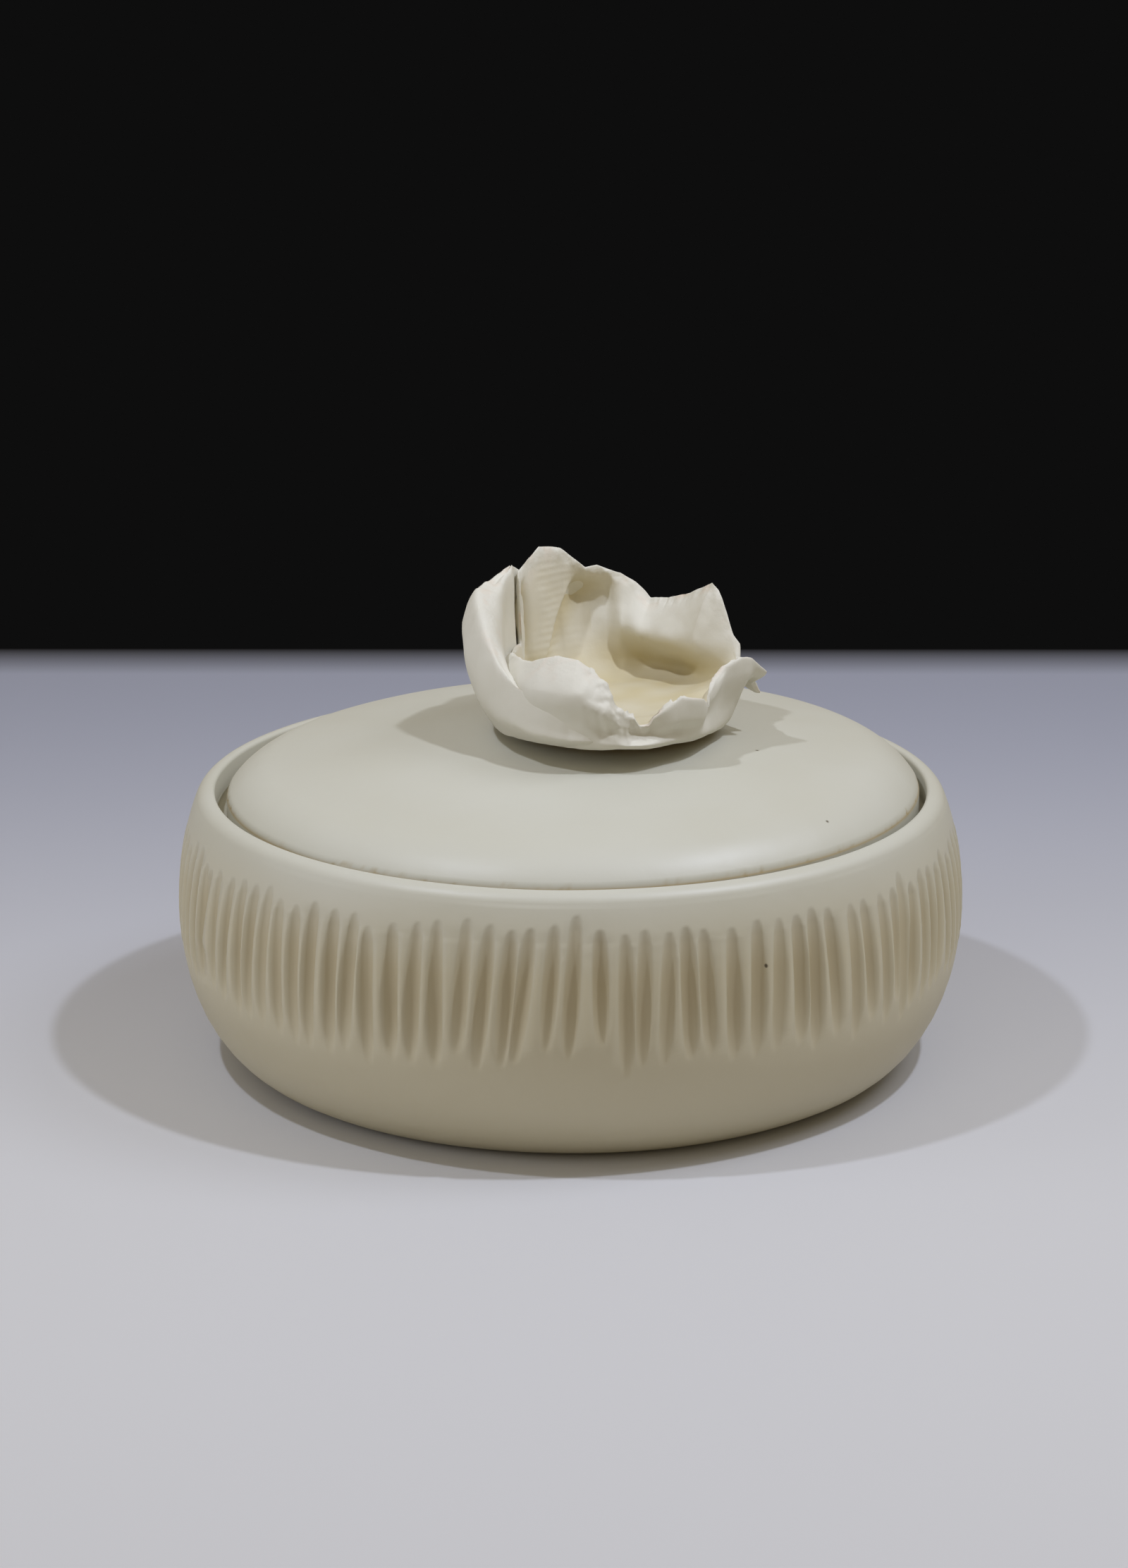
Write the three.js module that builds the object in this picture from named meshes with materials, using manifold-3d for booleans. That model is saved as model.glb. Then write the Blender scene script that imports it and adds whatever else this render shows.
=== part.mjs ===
// Lidded ceramic box: a thrown bowl with carved flutes, a drop-in lid and a knob of torn clay.
// Millimetres, +Z up. The origin is the middle of the base, on the table.
import * as THREE from "three";
import { mergeVertices } from "three/addons/utils/BufferGeometryUtils.js";
import Module from "manifold-3d";

const wasm = await Module();
wasm.setup();

// Bowl
const BOWL_DIAMETER = 140;
const BOWL_HEIGHT = 49;
const BELLY_HEIGHT = 28;
const BELLY_BULGE = 16;
const BELLY_RISE = 31;
const WALL = 5.5;
const FLOOR = 6;
const FOOT_RING_WIDTH = 6;
const FOOT_RECESS = 1.2;

// Gallery inside the lip, and the lip itself
const LIP_ROUND = 3;
const LIP_START = 20;
const LIP_EDGE = 0.7;
const GALLERY_DIAMETER = 126;
const GALLERY_DEPTH = 5;
const LEDGE_WIDTH = 5;
const LEDGE_NOSE = 2;
const LEDGE_UNDERCUT = 3.5;

// Flutes, cut with a round-nosed loop tool drawn down the wall
const FLUTES = 114;
const FLUTE_TOP = 42.8;
const FLUTE_BOTTOM = 20.1;
const FLUTE_DEPTH = 1;
const FLUTE_TOOL_RADIUS = 2;
const FLUTE_LEAN = 1.5;
const FLUTE_MARGIN = 1.2;

// The uneven hand: how far each flute's ends, its lean in degrees and its depth, as a share, stray
const FLUTE_SPREAD = 1.1;
const FLUTE_SWAY = 0.5;
const FLUTE_UNEVENNESS = 0.15;

// Along a flute the bite swells and fades as a sine does: how far down it is deepest, and how full it is
const FLUTE_PEAK_POWER = 0.75;
const FLUTE_FULLNESS_POWER = 0.7;

// Lid
const LID_CLEARANCE = 2;
const LID_EDGE_HEIGHT = 4.1;
const LID_EDGE_SLOPE = 35;
const LID_SHOULDER_ROUND = 18.4;
const LID_DOME_SLOPE = 17.5;
const LID_THICKNESS = 4.5;
const LID_SEAT_WIDTH = 4.2;

// Knob. Its heights are measured from the top of the lid's dome.
const KNOB_SIDEWAYS = 7;
const PAD_RADIUS = 10;
const PAD_HEIGHT = 0.8;
const CUP_FLOOR = 2.6;
const CUP_UNDERSIDE = 0.4;
const CUP_HEEL_ROUND = 2.5;
const CUP_HEEL_HEIGHT = 1.4;
const CUP_WAIST = 0.8;
const CUP_FLOOR_RADIUS = 8;
const CUP_TURN_RADIUS = 13;
const NECK_SHARE = 0.85;
const TORN_EDGE = 0.5;
const WRAP_START = 134;
const WRAP_END = 248;
const WRAP_FULLNESS = 1;
const WRAP_HEM = 2;
const WRAP_HEM_RISE = 0.6;
const WRAP_CREST_DROP = 1;
const WRAP_TUCK_SHARE = 0.75;

// The clay was drawn out: lengths from front to back are stretched, more so in front, and what is drawn
// forwards also rises. The middle of the knob, between the two radii, stays flat on its pad.
const DRAW_STRETCH = 0.3;
const DRAW_FORWARD = 0.003;
const DRAW_RISE = 0.285;
const DRAW_FLAT_RADIUS = 8;
const DRAW_FULL_RADIUS = 16;

// Torn rim of the cup, anticlockwise from the right: angle in degrees, then distance from the knob's axis
// and height.
const RIM = [
  [0, 24.4, 7.4], [5, 23, 9], [10, 22.7, 11.1], [13, 22.8, 14.7], [18, 21.4, 18], [23, 20.6, 21.2],
  [27, 19.7, 22.5], [43, 19, 21.2], [57, 19.1, 18.9], [68, 19.4, 18.2], [76, 19.7, 20.5],
  [84, 19.2, 22.2], [97, 18.4, 23.8], [104, 18, 23.6], [111, 18.2, 25.3], [118, 18.5, 26.9],
  [132, 18.6, 28], [143, 18.3, 25.4], [152, 18, 24], [155, 17.2, 12.5], [180, 17, 12.4],
  [190, 17.2, 13], [204, 17.7, 13.7], [213, 18.1, 13.6], [224, 18.6, 14], [233, 18.8, 15],
  [241, 18.5, 15.7], [252, 18.5, 15.2], [262, 18.6, 13.2], [266, 18.9, 12.2], [269, 19.1, 10.6],
  [272, 19.4, 8.2], [276, 19.6, 7.2], [281, 19.8, 6.6], [284, 20, 5], [288, 20.2, 5.2],
  [290, 20.3, 6.5], [297, 20.8, 8.2], [303, 21.2, 9.4], [308, 21.8, 9.1], [314, 22.3, 8.8],
  [319, 22, 7.2], [323, 20.9, 9.2], [328, 20.5, 10.8], [335, 21.3, 12.8], [342, 23.3, 13.7],
  [346, 24.8, 13.4], [350, 27.4, 10.8], [353, 25.2, 8.6], [356, 26.3, 6.6],
];

// How the wall of the cup stands, at the same angles: radius of its heel, then distance and height of the
// inside of the wall half way up and near the rim, then the thickness of the sheet.
const WALLS = [
  [0, 20.8, 20, 5.6, 22.4, 8.8, 2.2],
  [8, 20.6, 18.6, 6.6, 21, 9.6, 2.2],
  [27, 20, 17.6, 6.4, 16.2, 13.2, 2.2],
  [48, 19.8, 18.2, 6.4, 14.8, 12.6, 2.2],
  [68, 19.6, 17.6, 6.4, 15.6, 12.6, 2.2],
  [82, 19.4, 16.4, 7.6, 18, 15.4, 2],
  [92, 19.4, 16.4, 9.4, 20.2, 19, 2],
  [104, 19.4, 16.6, 10.6, 20.2, 19.8, 2],
  [118, 19.2, 16.2, 10, 17.2, 18.6, 2],
  [132, 19, 15, 9.5, 16.8, 18.8, 2.2],
  [150, 18.4, 15.6, 6.6, 16.4, 9.6, 2],
  [176, 18.6, 15.8, 6.6, 16.8, 9.6, 2],
  [194, 19.2, 17, 6.8, 18, 11, 2.1],
  [212, 19.6, 18, 6.2, 19.2, 10.6, 2.4],
  [233, 20, 18.8, 6, 20, 10.6, 2.6],
  [255, 20.4, 18.8, 5.6, 20, 10.4, 2.6],
  [268, 21, 18, 5, 19.4, 7.8, 2.6],
  [284, 21, 15.8, 4.2, 18.4, 4.6, 2.4],
  [300, 20.6, 17.6, 4.5, 19.8, 6.6, 2.6],
  [316, 20.4, 18.8, 4.8, 20.8, 6.6, 2.4],
  [324, 20.4, 18, 5.6, 19.8, 8.4, 2.2],
  [334, 20.6, 18.6, 6.4, 20.4, 11.2, 2],
  [349, 21, 20.6, 6.4, 23.6, 10.8, 2.2],
];

// The fold round the cup's left side: angle, then distance and height of its inner crest, outer crest,
// bulge and hem.
const FOLDS = [
  [142, 19, 16.6, 20.6, 16, 21.6, 10, 19.6, 3],
  [148, 18.4, 25, 20, 24.6, 22.2, 15, 20.4, 1.4],
  [154, 18.4, 26.1, 20.2, 25.9, 22.8, 16, 20.6, 1],
  [166, 19.2, 24.4, 22, 24.3, 24.6, 17, 20.7, 0.7],
  [178, 19.2, 21.8, 24, 23.9, 26.1, 17.4, 20.8, 0.6],
  [190, 19.3, 17.2, 23.8, 20.8, 25.7, 13.6, 20.9, 0.6],
  [196, 19.5, 15.4, 23.5, 18.6, 25.2, 11.8, 20.9, 0.6],
  [204, 20.2, 13.4, 23.3, 15.4, 24.6, 9.6, 21, 0.7],
  [212, 20.8, 11, 22.9, 12, 23.7, 7.6, 21, 0.7],
  [222, 21.5, 8.4, 22.8, 8.6, 23.3, 5.8, 21.1, 0.8],
  [234, 21.9, 5.6, 22.6, 5.4, 22.8, 3.9, 21, 0.9],
];

// Gap left between two pieces that rest on or against each other
const SEAT_GAP = 0.3;

// Facets
const BOWL_FACETS = 72;
const LID_FACETS = 48;
const CUP_FACETS = 60;
const PAD_FACETS = 24;
const WRAP_STEPS = 18;
const CUP_SAMPLES = 24;
const WRAP_SAMPLES = 14;
const FLUTE_STATIONS = [1, 0.72, 0.4, 0.07, 0];
const FLUTE_SIDES = [-1, -0.5, 0.5, 1];

const BODY_CLAY = { color: 0xdedbd0, roughness: 0.72, metalness: 0 };
const KNOB_CLAY = { color: 0xe3ddce, roughness: 0.8, metalness: 0 };

const toRadians = THREE.MathUtils.degToRad;
const toDegrees = THREE.MathUtils.radToDeg;
const bowlRadius = BOWL_DIAMETER / 2;
const baseRadius = bowlRadius - BELLY_BULGE;
const galleryRadius = GALLERY_DIAMETER / 2;
const ledgeHeight = BOWL_HEIGHT - GALLERY_DEPTH;
const ledgeRadius = galleryRadius - LEDGE_WIDTH;
const lidRadius = galleryRadius - LID_CLEARANCE;
const lidBottom = ledgeHeight + SEAT_GAP;
const lidEdgeTop = lidBottom + LID_EDGE_HEIGHT;
const cupSeat = 2 * SEAT_GAP + PAD_HEIGHT;

const at = (radius, height) => new THREE.Vector2(radius, height);
const uphill = (slope, distance) =>
  at(Math.sin(toRadians(slope)), Math.cos(toRadians(slope))).multiplyScalar(distance);

// The lid's shoulder rounds from the slope at its edge to the slope of the dome.
const shoulderCentre = at(lidRadius, lidEdgeTop).sub(uphill(LID_EDGE_SLOPE, LID_SHOULDER_ROUND));
const shoulderTop = shoulderCentre.clone().add(uphill(LID_DOME_SLOPE, LID_SHOULDER_ROUND));
const domeRadius = shoulderTop.x / Math.sin(toRadians(LID_DOME_SLOPE));
const lidTop = shoulderTop.y + domeRadius * (1 - Math.cos(toRadians(LID_DOME_SLOPE)));
const padBottom = lidTop + SEAT_GAP;

// Points along an upright ellipse, from one angle to another, in degrees from the outward direction.
function ellipse(centre, across, up, from, to, steps) {
  return Array.from({ length: steps + 1 }, (_, i) => {
    const angle = toRadians(from + ((to - from) * i) / steps);
    return at(centre.x + across * Math.cos(angle), centre.y + up * Math.sin(angle));
  });
}

// A point beside the Z axis that carries its own place round its ring, in turns.
function placed(radius, angle, height) {
  const point = new THREE.Vector3(radius * Math.cos(angle), radius * Math.sin(angle), height);
  point.turn = angle / (2 * Math.PI);
  return point;
}

function ringOf(point, facets) {
  return Array.from({ length: facets }, (_, i) => placed(point.x, (i / facets) * 2 * Math.PI, point.y));
}

// A closed skin over a row of rings that starts and ends in a single point. Neighbouring rings may have
// different numbers of points: each band takes the points of both in the order of their turns.
function skin(rings) {
  const starts = [];
  let count = 0;
  for (const ring of rings) {
    starts.push(count);
    count += ring.length;
  }
  const turnOf = (ring, i) => ring[i % ring.length].turn + Math.floor(i / ring.length);
  const faces = [];
  for (let k = 0; k + 1 < rings.length; k += 1) {
    const [low, high] = [rings[k], rings[k + 1]];
    const indexLow = (i) => starts[k] + (i % low.length);
    const indexHigh = (j) => starts[k + 1] + (j % high.length);
    const stepsLow = low.length > 1 ? low.length : 0;
    const stepsHigh = high.length > 1 ? high.length : 0;
    for (let i = 0, j = 0; i < stepsLow || j < stepsHigh; ) {
      const lowNext = j === stepsHigh || (i < stepsLow && turnOf(low, i + 1) <= turnOf(high, j + 1));
      if (lowNext) faces.push(indexLow(i), indexLow(i + 1), indexHigh(j));
      else faces.push(indexLow(i), indexHigh(j + 1), indexHigh(j));
      if (lowNext) i += 1;
      else j += 1;
    }
  }
  const geometry = new THREE.BufferGeometry().setFromPoints(rings.flat());
  geometry.setIndex(faces);
  geometry.computeVertexNormals();
  return geometry;
}

// A closed mesh as a solid that can be cut, and back again.
function solidOf(geometry) {
  const bare = geometry.clone();
  bare.deleteAttribute("normal");
  const merged = mergeVertices(bare, 1e-4);
  const triVerts = new Uint32Array(merged.index.array);
  return new wasm.Manifold(
    new wasm.Mesh({ numProp: 3, vertProperties: merged.attributes.position.array, triVerts }),
  );
}

function geometryOf(solid) {
  const mesh = solid.getMesh();
  const geometry = new THREE.BufferGeometry();
  geometry.setAttribute("position", new THREE.BufferAttribute(mesh.vertProperties, 3));
  geometry.setIndex(new THREE.BufferAttribute(mesh.triVerts, 1));
  geometry.computeVertexNormals();
  return geometry;
}

// A piece turned on the wheel, from a profile that runs up its outside.
function turned(profile, facets) {
  return new THREE.LatheGeometry(profile, facets).rotateX(Math.PI / 2);
}

function pieceOf(name, geometry, clay) {
  const mesh = new THREE.Mesh(geometry, new THREE.MeshStandardMaterial(clay));
  mesh.name = name;
  return mesh;
}

// Outside of the bowl at a height above the table.
function wallRadius(height) {
  return baseRadius + BELLY_BULGE * Math.cos(toRadians(wallAngle(height)));
}

// The angle at a height above the table on the wall's ellipse, which is taller above the belly than below.
function wallAngle(height) {
  const reach = height < BELLY_HEIGHT ? BELLY_HEIGHT : BELLY_RISE;
  return toDegrees(Math.asin((height - BELLY_HEIGHT) / reach));
}

// An uneven hand: a number between -1 and 1 that is always the same for the same flute and habit.
function hand(flute, habit) {
  const mixed = Math.sin(flute * 12.9898 + habit * 78.233) * 43758.5453;
  return 2 * (mixed - Math.floor(mixed)) - 1;
}

// Points of one flute at a share of its length from the top: on the bare wall at its ends, and across the
// groove of the tool's round nose between them.
function fluteSection(flute, share) {
  const middle = ((flute + 0.5) / FLUTES) * 2 * Math.PI;
  const top = FLUTE_TOP + FLUTE_SPREAD * hand(flute, 1);
  const bottom = FLUTE_BOTTOM + FLUTE_SPREAD * hand(flute, 2);
  const height = top + (bottom - top) * share;
  const lean = toRadians(FLUTE_LEAN * Math.cos(middle) + FLUTE_SWAY * hand(flute, 4));
  const drift = (Math.tan(lean) * (top - height)) / bowlRadius;
  if (share === 0 || share === 1) return [placed(wallRadius(height), middle + drift, height)];
  const swell = Math.sin(Math.PI * share ** FLUTE_PEAK_POWER) ** FLUTE_FULLNESS_POWER;
  const bite = FLUTE_DEPTH * (1 + FLUTE_UNEVENNESS * hand(flute, 3)) * swell;
  const half = Math.sqrt(2 * FLUTE_TOOL_RADIUS * bite - bite ** 2);
  return FLUTE_SIDES.map((side) => {
    const across = side * half;
    const cut = bite - FLUTE_TOOL_RADIUS + Math.sqrt(FLUTE_TOOL_RADIUS ** 2 - across ** 2);
    return placed(wallRadius(height) - cut, middle + drift + across / bowlRadius, height);
  });
}

function makeBowl() {
  const middle = at(baseRadius, BELLY_HEIGHT);
  const lipTop = galleryRadius + LIP_EDGE;
  const lipStart = BOWL_HEIGHT - LIP_ROUND * (1 - Math.sin(toRadians(LIP_START)));
  const lipAcross = (wallRadius(lipStart) - lipTop) / Math.cos(toRadians(LIP_START));
  const innerRise = BELLY_HEIGHT - FLOOR;
  const innerTop = ledgeHeight - LEDGE_NOSE - LEDGE_UNDERCUT - BELLY_HEIGHT;
  const belowFlutes = wallAngle(FLUTE_BOTTOM - FLUTE_SPREAD - FLUTE_MARGIN);
  const under = [
    at(baseRadius - FOOT_RING_WIDTH - FOOT_RECESS, FOOT_RECESS),
    at(baseRadius - FOOT_RING_WIDTH, 0),
    ...ellipse(middle, BELLY_BULGE, BELLY_HEIGHT, -90, belowFlutes, 6),
  ];
  const over = [
    at(wallRadius(FLUTE_TOP + FLUTE_SPREAD + FLUTE_MARGIN), FLUTE_TOP + FLUTE_SPREAD + FLUTE_MARGIN),
    ...ellipse(at(lipTop, BOWL_HEIGHT - LIP_ROUND), lipAcross, LIP_ROUND, LIP_START, 90, 4),
    ...ellipse(at(lipTop, BOWL_HEIGHT - LIP_EDGE), LIP_EDGE, LIP_EDGE, 135, 180, 1),
    at(galleryRadius, ledgeHeight),
    at(ledgeRadius, ledgeHeight),
    at(ledgeRadius, ledgeHeight - LEDGE_NOSE),
    ...ellipse(middle, BELLY_BULGE - WALL, innerRise, toDegrees(Math.asin(innerTop / innerRise)), -90, 7),
  ];
  const flutes = Array.from({ length: FLUTES }, (_, flute) => flute);
  return skin([
    [placed(0, 0, FOOT_RECESS)],
    ...under.map((point) => ringOf(point, BOWL_FACETS)),
    ...FLUTE_STATIONS.map((share) => flutes.flatMap((flute) => fluteSection(flute, share))),
    ...over.map((point) => ringOf(point, BOWL_FACETS)),
    [placed(0, 0, FLOOR)],
  ]);
}

function makeLid() {
  const dome = at(0, lidTop - domeRadius);
  const hollowRadius = lidRadius - LID_SEAT_WIDTH;
  const roofRadius = domeRadius - LID_THICKNESS;
  const roofEdge = toDegrees(Math.acos((hollowRadius - LID_THICKNESS / 2) / roofRadius));
  const edgeAngle = 90 - LID_EDGE_SLOPE;
  const domeAngle = 90 - LID_DOME_SLOPE;
  return turned(
    [
      ...ellipse(dome, roofRadius, roofRadius, 90, roofEdge, 4),
      at(hollowRadius, lidBottom),
      at(lidRadius, lidBottom),
      ...ellipse(shoulderCentre, LID_SHOULDER_ROUND, LID_SHOULDER_ROUND, edgeAngle, domeAngle, 3),
      ...ellipse(dome, domeRadius, domeRadius, domeAngle, 90, 8).slice(1),
    ],
    LID_FACETS,
  );
}

function makePad() {
  const profile = [at(0, 0), at(PAD_RADIUS, 0), at(PAD_RADIUS, PAD_HEIGHT), at(0, PAD_HEIGHT)];
  return turned(profile, PAD_FACETS).translate(KNOB_SIDEWAYS, 0, padBottom);
}

// The numbers of a list of rows at any angle, blended between the rows on either side of it.
function blend(rows, angle, ease) {
  const wrapped = ((angle % 360) + 360) % 360;
  const closed = [...rows, [rows[0][0] + 360, ...rows[0].slice(1)]];
  const next = closed.findIndex((row) => row[0] > wrapped);
  const [from, to] = [closed[next - 1], closed[next]];
  const share = ease((wrapped - from[0]) / (to[0] - from[0]));
  return from.slice(1).map((value, i) => value + (to[i + 1] - value) * share);
}

const straight = (share) => share;
const soft = (share) => share * share * (3 - 2 * share);

// A point at a distance from another, on the right-hand side of somebody walking from one place to the next.
function beside(point, from, to, distance) {
  const way = to.clone().sub(from).normalize();
  return at(point.x + way.y * distance, point.y - way.x * distance);
}

// The place of a point of the knob once the clay is drawn out.
function drawnOut(point) {
  const away = Math.hypot(point.x, point.y);
  const share = Math.min(1, Math.max(0, (away - DRAW_FLAT_RADIUS) / (DRAW_FULL_RADIUS - DRAW_FLAT_RADIUS)));
  const back = DRAW_STRETCH * point.y - DRAW_FORWARD * point.y ** 2;
  point.y += back;
  point.z -= DRAW_RISE * back * soft(share);
  return point;
}

// Outline of the cup's sheet at one angle: along the underside, up the outside, over the torn rim and down
// the inside to the floor. The swell makes its outside and its rim that much thicker.
function cupOutline(angle, swell) {
  const [rimAway, rimUp] = blend(RIM, angle, straight);
  const [heel, wallAway, wallUp, neckAway, neckUp, sheet] = blend(WALLS, angle, soft);
  const floor = cupSeat + CUP_FLOOR;
  const turn = at(CUP_TURN_RADIUS, floor + TORN_EDGE);
  const wall = at(wallAway, wallUp);
  const neck = at(neckAway, neckUp);
  const torn = at(rimAway, rimUp);
  const rim = torn.clone().add(torn.clone().sub(neck).setLength(swell));
  const outerNeck = beside(neck, wall, torn, sheet * NECK_SHARE + swell);
  outerNeck.max(at((heel + neckAway) / 2 + swell, (CUP_HEEL_HEIGHT + rimUp) / 2));
  const waist = Math.max(wallAway + sheet, (heel + outerNeck.x) / 2 - CUP_WAIST);
  return new THREE.SplineCurve([
    at(0, cupSeat - swell),
    at(PAD_RADIUS, cupSeat - swell),
    at(heel - CUP_HEEL_ROUND, CUP_UNDERSIDE - swell),
    at(heel + swell, CUP_HEEL_HEIGHT - swell),
    at(waist + swell, (CUP_HEEL_HEIGHT + outerNeck.y) / 2),
    outerNeck,
    beside(rim, neck, torn, sheet * TORN_EDGE + swell),
    rim,
    neck,
    wall,
    turn,
    at(CUP_FLOOR_RADIUS, floor),
    at(0, floor),
  ]);
}

function cupSkin(swell) {
  const angles = Array.from({ length: CUP_FACETS }, (_, i) => (i / CUP_FACETS) * 360);
  const outlines = angles.map((angle) => cupOutline(angle, swell).getPoints(CUP_SAMPLES));
  const rings = Array.from({ length: CUP_SAMPLES + 1 }, (_, k) => {
    if (k === 0 || k === CUP_SAMPLES) return [placed(0, 0, outlines[0][k].y)];
    return outlines.map((outline, i) => drawnOut(placed(outline[k].x, toRadians(angles[i]), outline[k].y)));
  });
  return skin(rings).translate(KNOB_SIDEWAYS, 0, lidTop);
}

// Section of the fold at one angle, as a closed loop that starts at the hem.
function foldSection(angle) {
  const row = blend(FOLDS, angle, straight);
  const [inner, outer, bulge, hem] = [0, 2, 4, 6].map((i) => at(row[i], row[i + 1]));
  const [, wallAway, wallUp, , , sheet] = blend(WALLS, angle, soft);
  const tuck = wallAway + sheet * WRAP_TUCK_SHARE;
  const loop = new THREE.SplineCurve([
    hem,
    at((hem.x + bulge.x) / 2 + WRAP_FULLNESS, (hem.y + bulge.y) / 2),
    bulge,
    outer,
    at((inner.x + outer.x) / 2, Math.max(inner.y, outer.y)),
    inner,
    at(Math.max(tuck, inner.x - WRAP_HEM_RISE), (inner.y + wallUp) / 2),
    at(tuck, Math.min(wallUp, inner.y - WRAP_CREST_DROP)),
    at(hem.x - WRAP_HEM, hem.y + WRAP_HEM_RISE),
  ]);
  return loop.getPoints(WRAP_SAMPLES).map((point, i) => {
    const spot = drawnOut(placed(point.x, toRadians(angle), point.y));
    spot.turn = i / (WRAP_SAMPLES + 1);
    return spot;
  });
}

function makeWrap() {
  const first = FOLDS[0][0];
  const last = FOLDS.at(-1)[0];
  const sections = Array.from({ length: WRAP_STEPS + 1 }, (_, i) =>
    foldSection(first + ((last - first) * i) / WRAP_STEPS),
  );
  const tip = (row, angle) => {
    const spot = drawnOut(placed((row[5] + row[7]) / 2, toRadians(angle), (row[6] + row[8]) / 2));
    spot.turn = 0;
    return [spot];
  };
  const rings = [tip(FOLDS[0], WRAP_START), ...sections, tip(FOLDS.at(-1), WRAP_END)].reverse();
  const blank = solidOf(skin(rings).translate(KNOB_SIDEWAYS, 0, lidTop));
  return geometryOf(blank.subtract(solidOf(cupSkin(SEAT_GAP))));
}

export default new THREE.Group().add(
  pieceOf("bowl", makeBowl(), BODY_CLAY),
  pieceOf("lid", makeLid(), BODY_CLAY),
  pieceOf("knob_foot", makePad(), KNOB_CLAY),
  pieceOf("knob_cup", cupSkin(0), KNOB_CLAY),
  pieceOf("knob_wrap", makeWrap(), KNOB_CLAY),
);
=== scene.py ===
# %% [markdown]
# # A lidded box of white clay
#
# The real object is a small thrown pot: a round-bellied bowl with a belt of carved flutes, a lid that drops
# into a gallery inside the lip, and a knob made of torn, pinched clay. Each of them is its own piece here,
# as it is on the potter's bench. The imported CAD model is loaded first. It is the fixed frame: it says how
# big everything is and what moves with what, and every new piece is made to fit it.

import math

import bmesh
import bpy
import numpy as np
from mathutils import Matrix, Vector, noise


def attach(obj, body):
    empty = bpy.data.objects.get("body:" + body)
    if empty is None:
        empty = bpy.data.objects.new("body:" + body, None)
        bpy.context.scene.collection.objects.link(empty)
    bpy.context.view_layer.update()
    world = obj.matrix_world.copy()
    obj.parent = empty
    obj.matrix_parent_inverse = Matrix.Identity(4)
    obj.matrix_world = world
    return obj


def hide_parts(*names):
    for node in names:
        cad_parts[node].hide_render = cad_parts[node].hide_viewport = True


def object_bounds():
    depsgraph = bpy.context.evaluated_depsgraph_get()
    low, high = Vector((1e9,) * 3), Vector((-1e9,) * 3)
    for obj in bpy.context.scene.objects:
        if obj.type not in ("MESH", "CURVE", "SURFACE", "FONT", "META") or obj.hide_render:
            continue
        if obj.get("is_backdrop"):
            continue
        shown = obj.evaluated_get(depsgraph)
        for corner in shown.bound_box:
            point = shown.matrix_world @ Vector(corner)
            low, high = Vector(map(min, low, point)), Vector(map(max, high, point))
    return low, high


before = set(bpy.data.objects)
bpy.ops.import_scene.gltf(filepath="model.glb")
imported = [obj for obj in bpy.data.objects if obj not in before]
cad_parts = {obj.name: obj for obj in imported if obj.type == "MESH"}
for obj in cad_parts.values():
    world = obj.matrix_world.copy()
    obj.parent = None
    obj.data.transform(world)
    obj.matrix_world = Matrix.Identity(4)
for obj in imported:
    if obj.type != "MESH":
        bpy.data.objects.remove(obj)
cad_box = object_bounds()
print("nodes:", ", ".join(sorted(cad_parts)))

# %% [markdown]
# ## Camera
#
# A long lens from a little above the table, as for a shop photograph of a small pot. It stands about 70 cm
# away and looks down by 16 degrees, so the ellipses of the rim and of the base open only a little. The long
# side of its film is the usual 36 mm, and the lens follows from it. Places are in metres, angles in degrees.

# %% Camera
FRAME_WIDTH = 1600
FRAME_HEIGHT = 2224
FOCAL_PIXELS = 5529
CAMERA_PLACE = (0, -0.6652, 0.2423)
CAMERA_TILT = 73.74
CAMERA_TURN = 0.1
FILM_HEIGHT = 36

camera_data = bpy.data.cameras.new("camera")
camera_data.sensor_fit = "VERTICAL"
camera_data.sensor_height = FILM_HEIGHT
camera_data.lens = FOCAL_PIXELS / FRAME_HEIGHT * FILM_HEIGHT
camera = bpy.data.objects.new("camera", camera_data)
camera.location = CAMERA_PLACE
camera.rotation_euler = (math.radians(CAMERA_TILT), 0, math.radians(CAMERA_TURN))
bpy.context.scene.collection.objects.link(camera)
bpy.context.scene.camera = camera
bpy.context.scene.view_settings.view_transform = "Standard"
print(f"lens {camera_data.lens:.1f} mm")

# %% [markdown]
# ## Two small helpers for materials
#
# A hex colour is how a paint chip is read off a screen, so it is in sRGB. Shaders count in linear light, and
# one function turns the one into the other. The second helper adds one node, with its settings and links.

# %% Helpers for materials
# A Mix node for colours has numbered sockets: the colours go in at 6 and 7, and the blend comes out at 2
MIX_COLOURS = {"data_type": "RGBA"}
MIX_A = 6
MIX_B = 7
MIXED = 2


def linear(hex_colour):
    channels = [int(hex_colour[i : i + 2], 16) / 255 for i in (1, 3, 5)]
    lit = [c / 12.92 if c <= 0.04045 else ((c + 0.055) / 1.055) ** 2.4 for c in channels]
    return (*lit, 1)


def add_node(tree, kind, settings, inputs):
    node = tree.nodes.new(kind)
    for name, value in settings.items():
        setattr(node, name, value)
    for name, value in inputs.items():
        if isinstance(value, bpy.types.NodeSocket):
            tree.links.new(value, node.inputs[name])
        else:
            node.inputs[name].default_value = value
    return node


def new_material(name):
    material = bpy.data.materials.new(name)
    material.use_nodes = True
    material.node_tree.nodes.clear()
    return material, material.node_tree


print("mid grey in linear light:", round(linear("#808080")[0], 3))

# %% [markdown]
# ## Table and backdrop
#
# The pot stands near the back edge of a pale, smooth table, in front of a dark room. The table is one flat
# face that ends where the real one does. Towards the back it is painted darker and slightly blue, as painted
# shade where less light reaches it. The photo's far edge is out of focus, so the last centimetres of the
# table darken softly and lose their gloss. The room is only a colour that the camera sees: what lights the
# pot is a soft, slightly warm sky, and the Light Path node tells the two apart.

# %% Table and backdrop
TABLE_BACK = 0.2875
SOFT_EDGE = 0.262
PALE_UNTIL = -0.1
BLUE_FROM = 0.3
TABLE_REACH = 1.5
TABLE_GLOSS = 0.5
SKY_STRENGTH = 0.31

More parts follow.
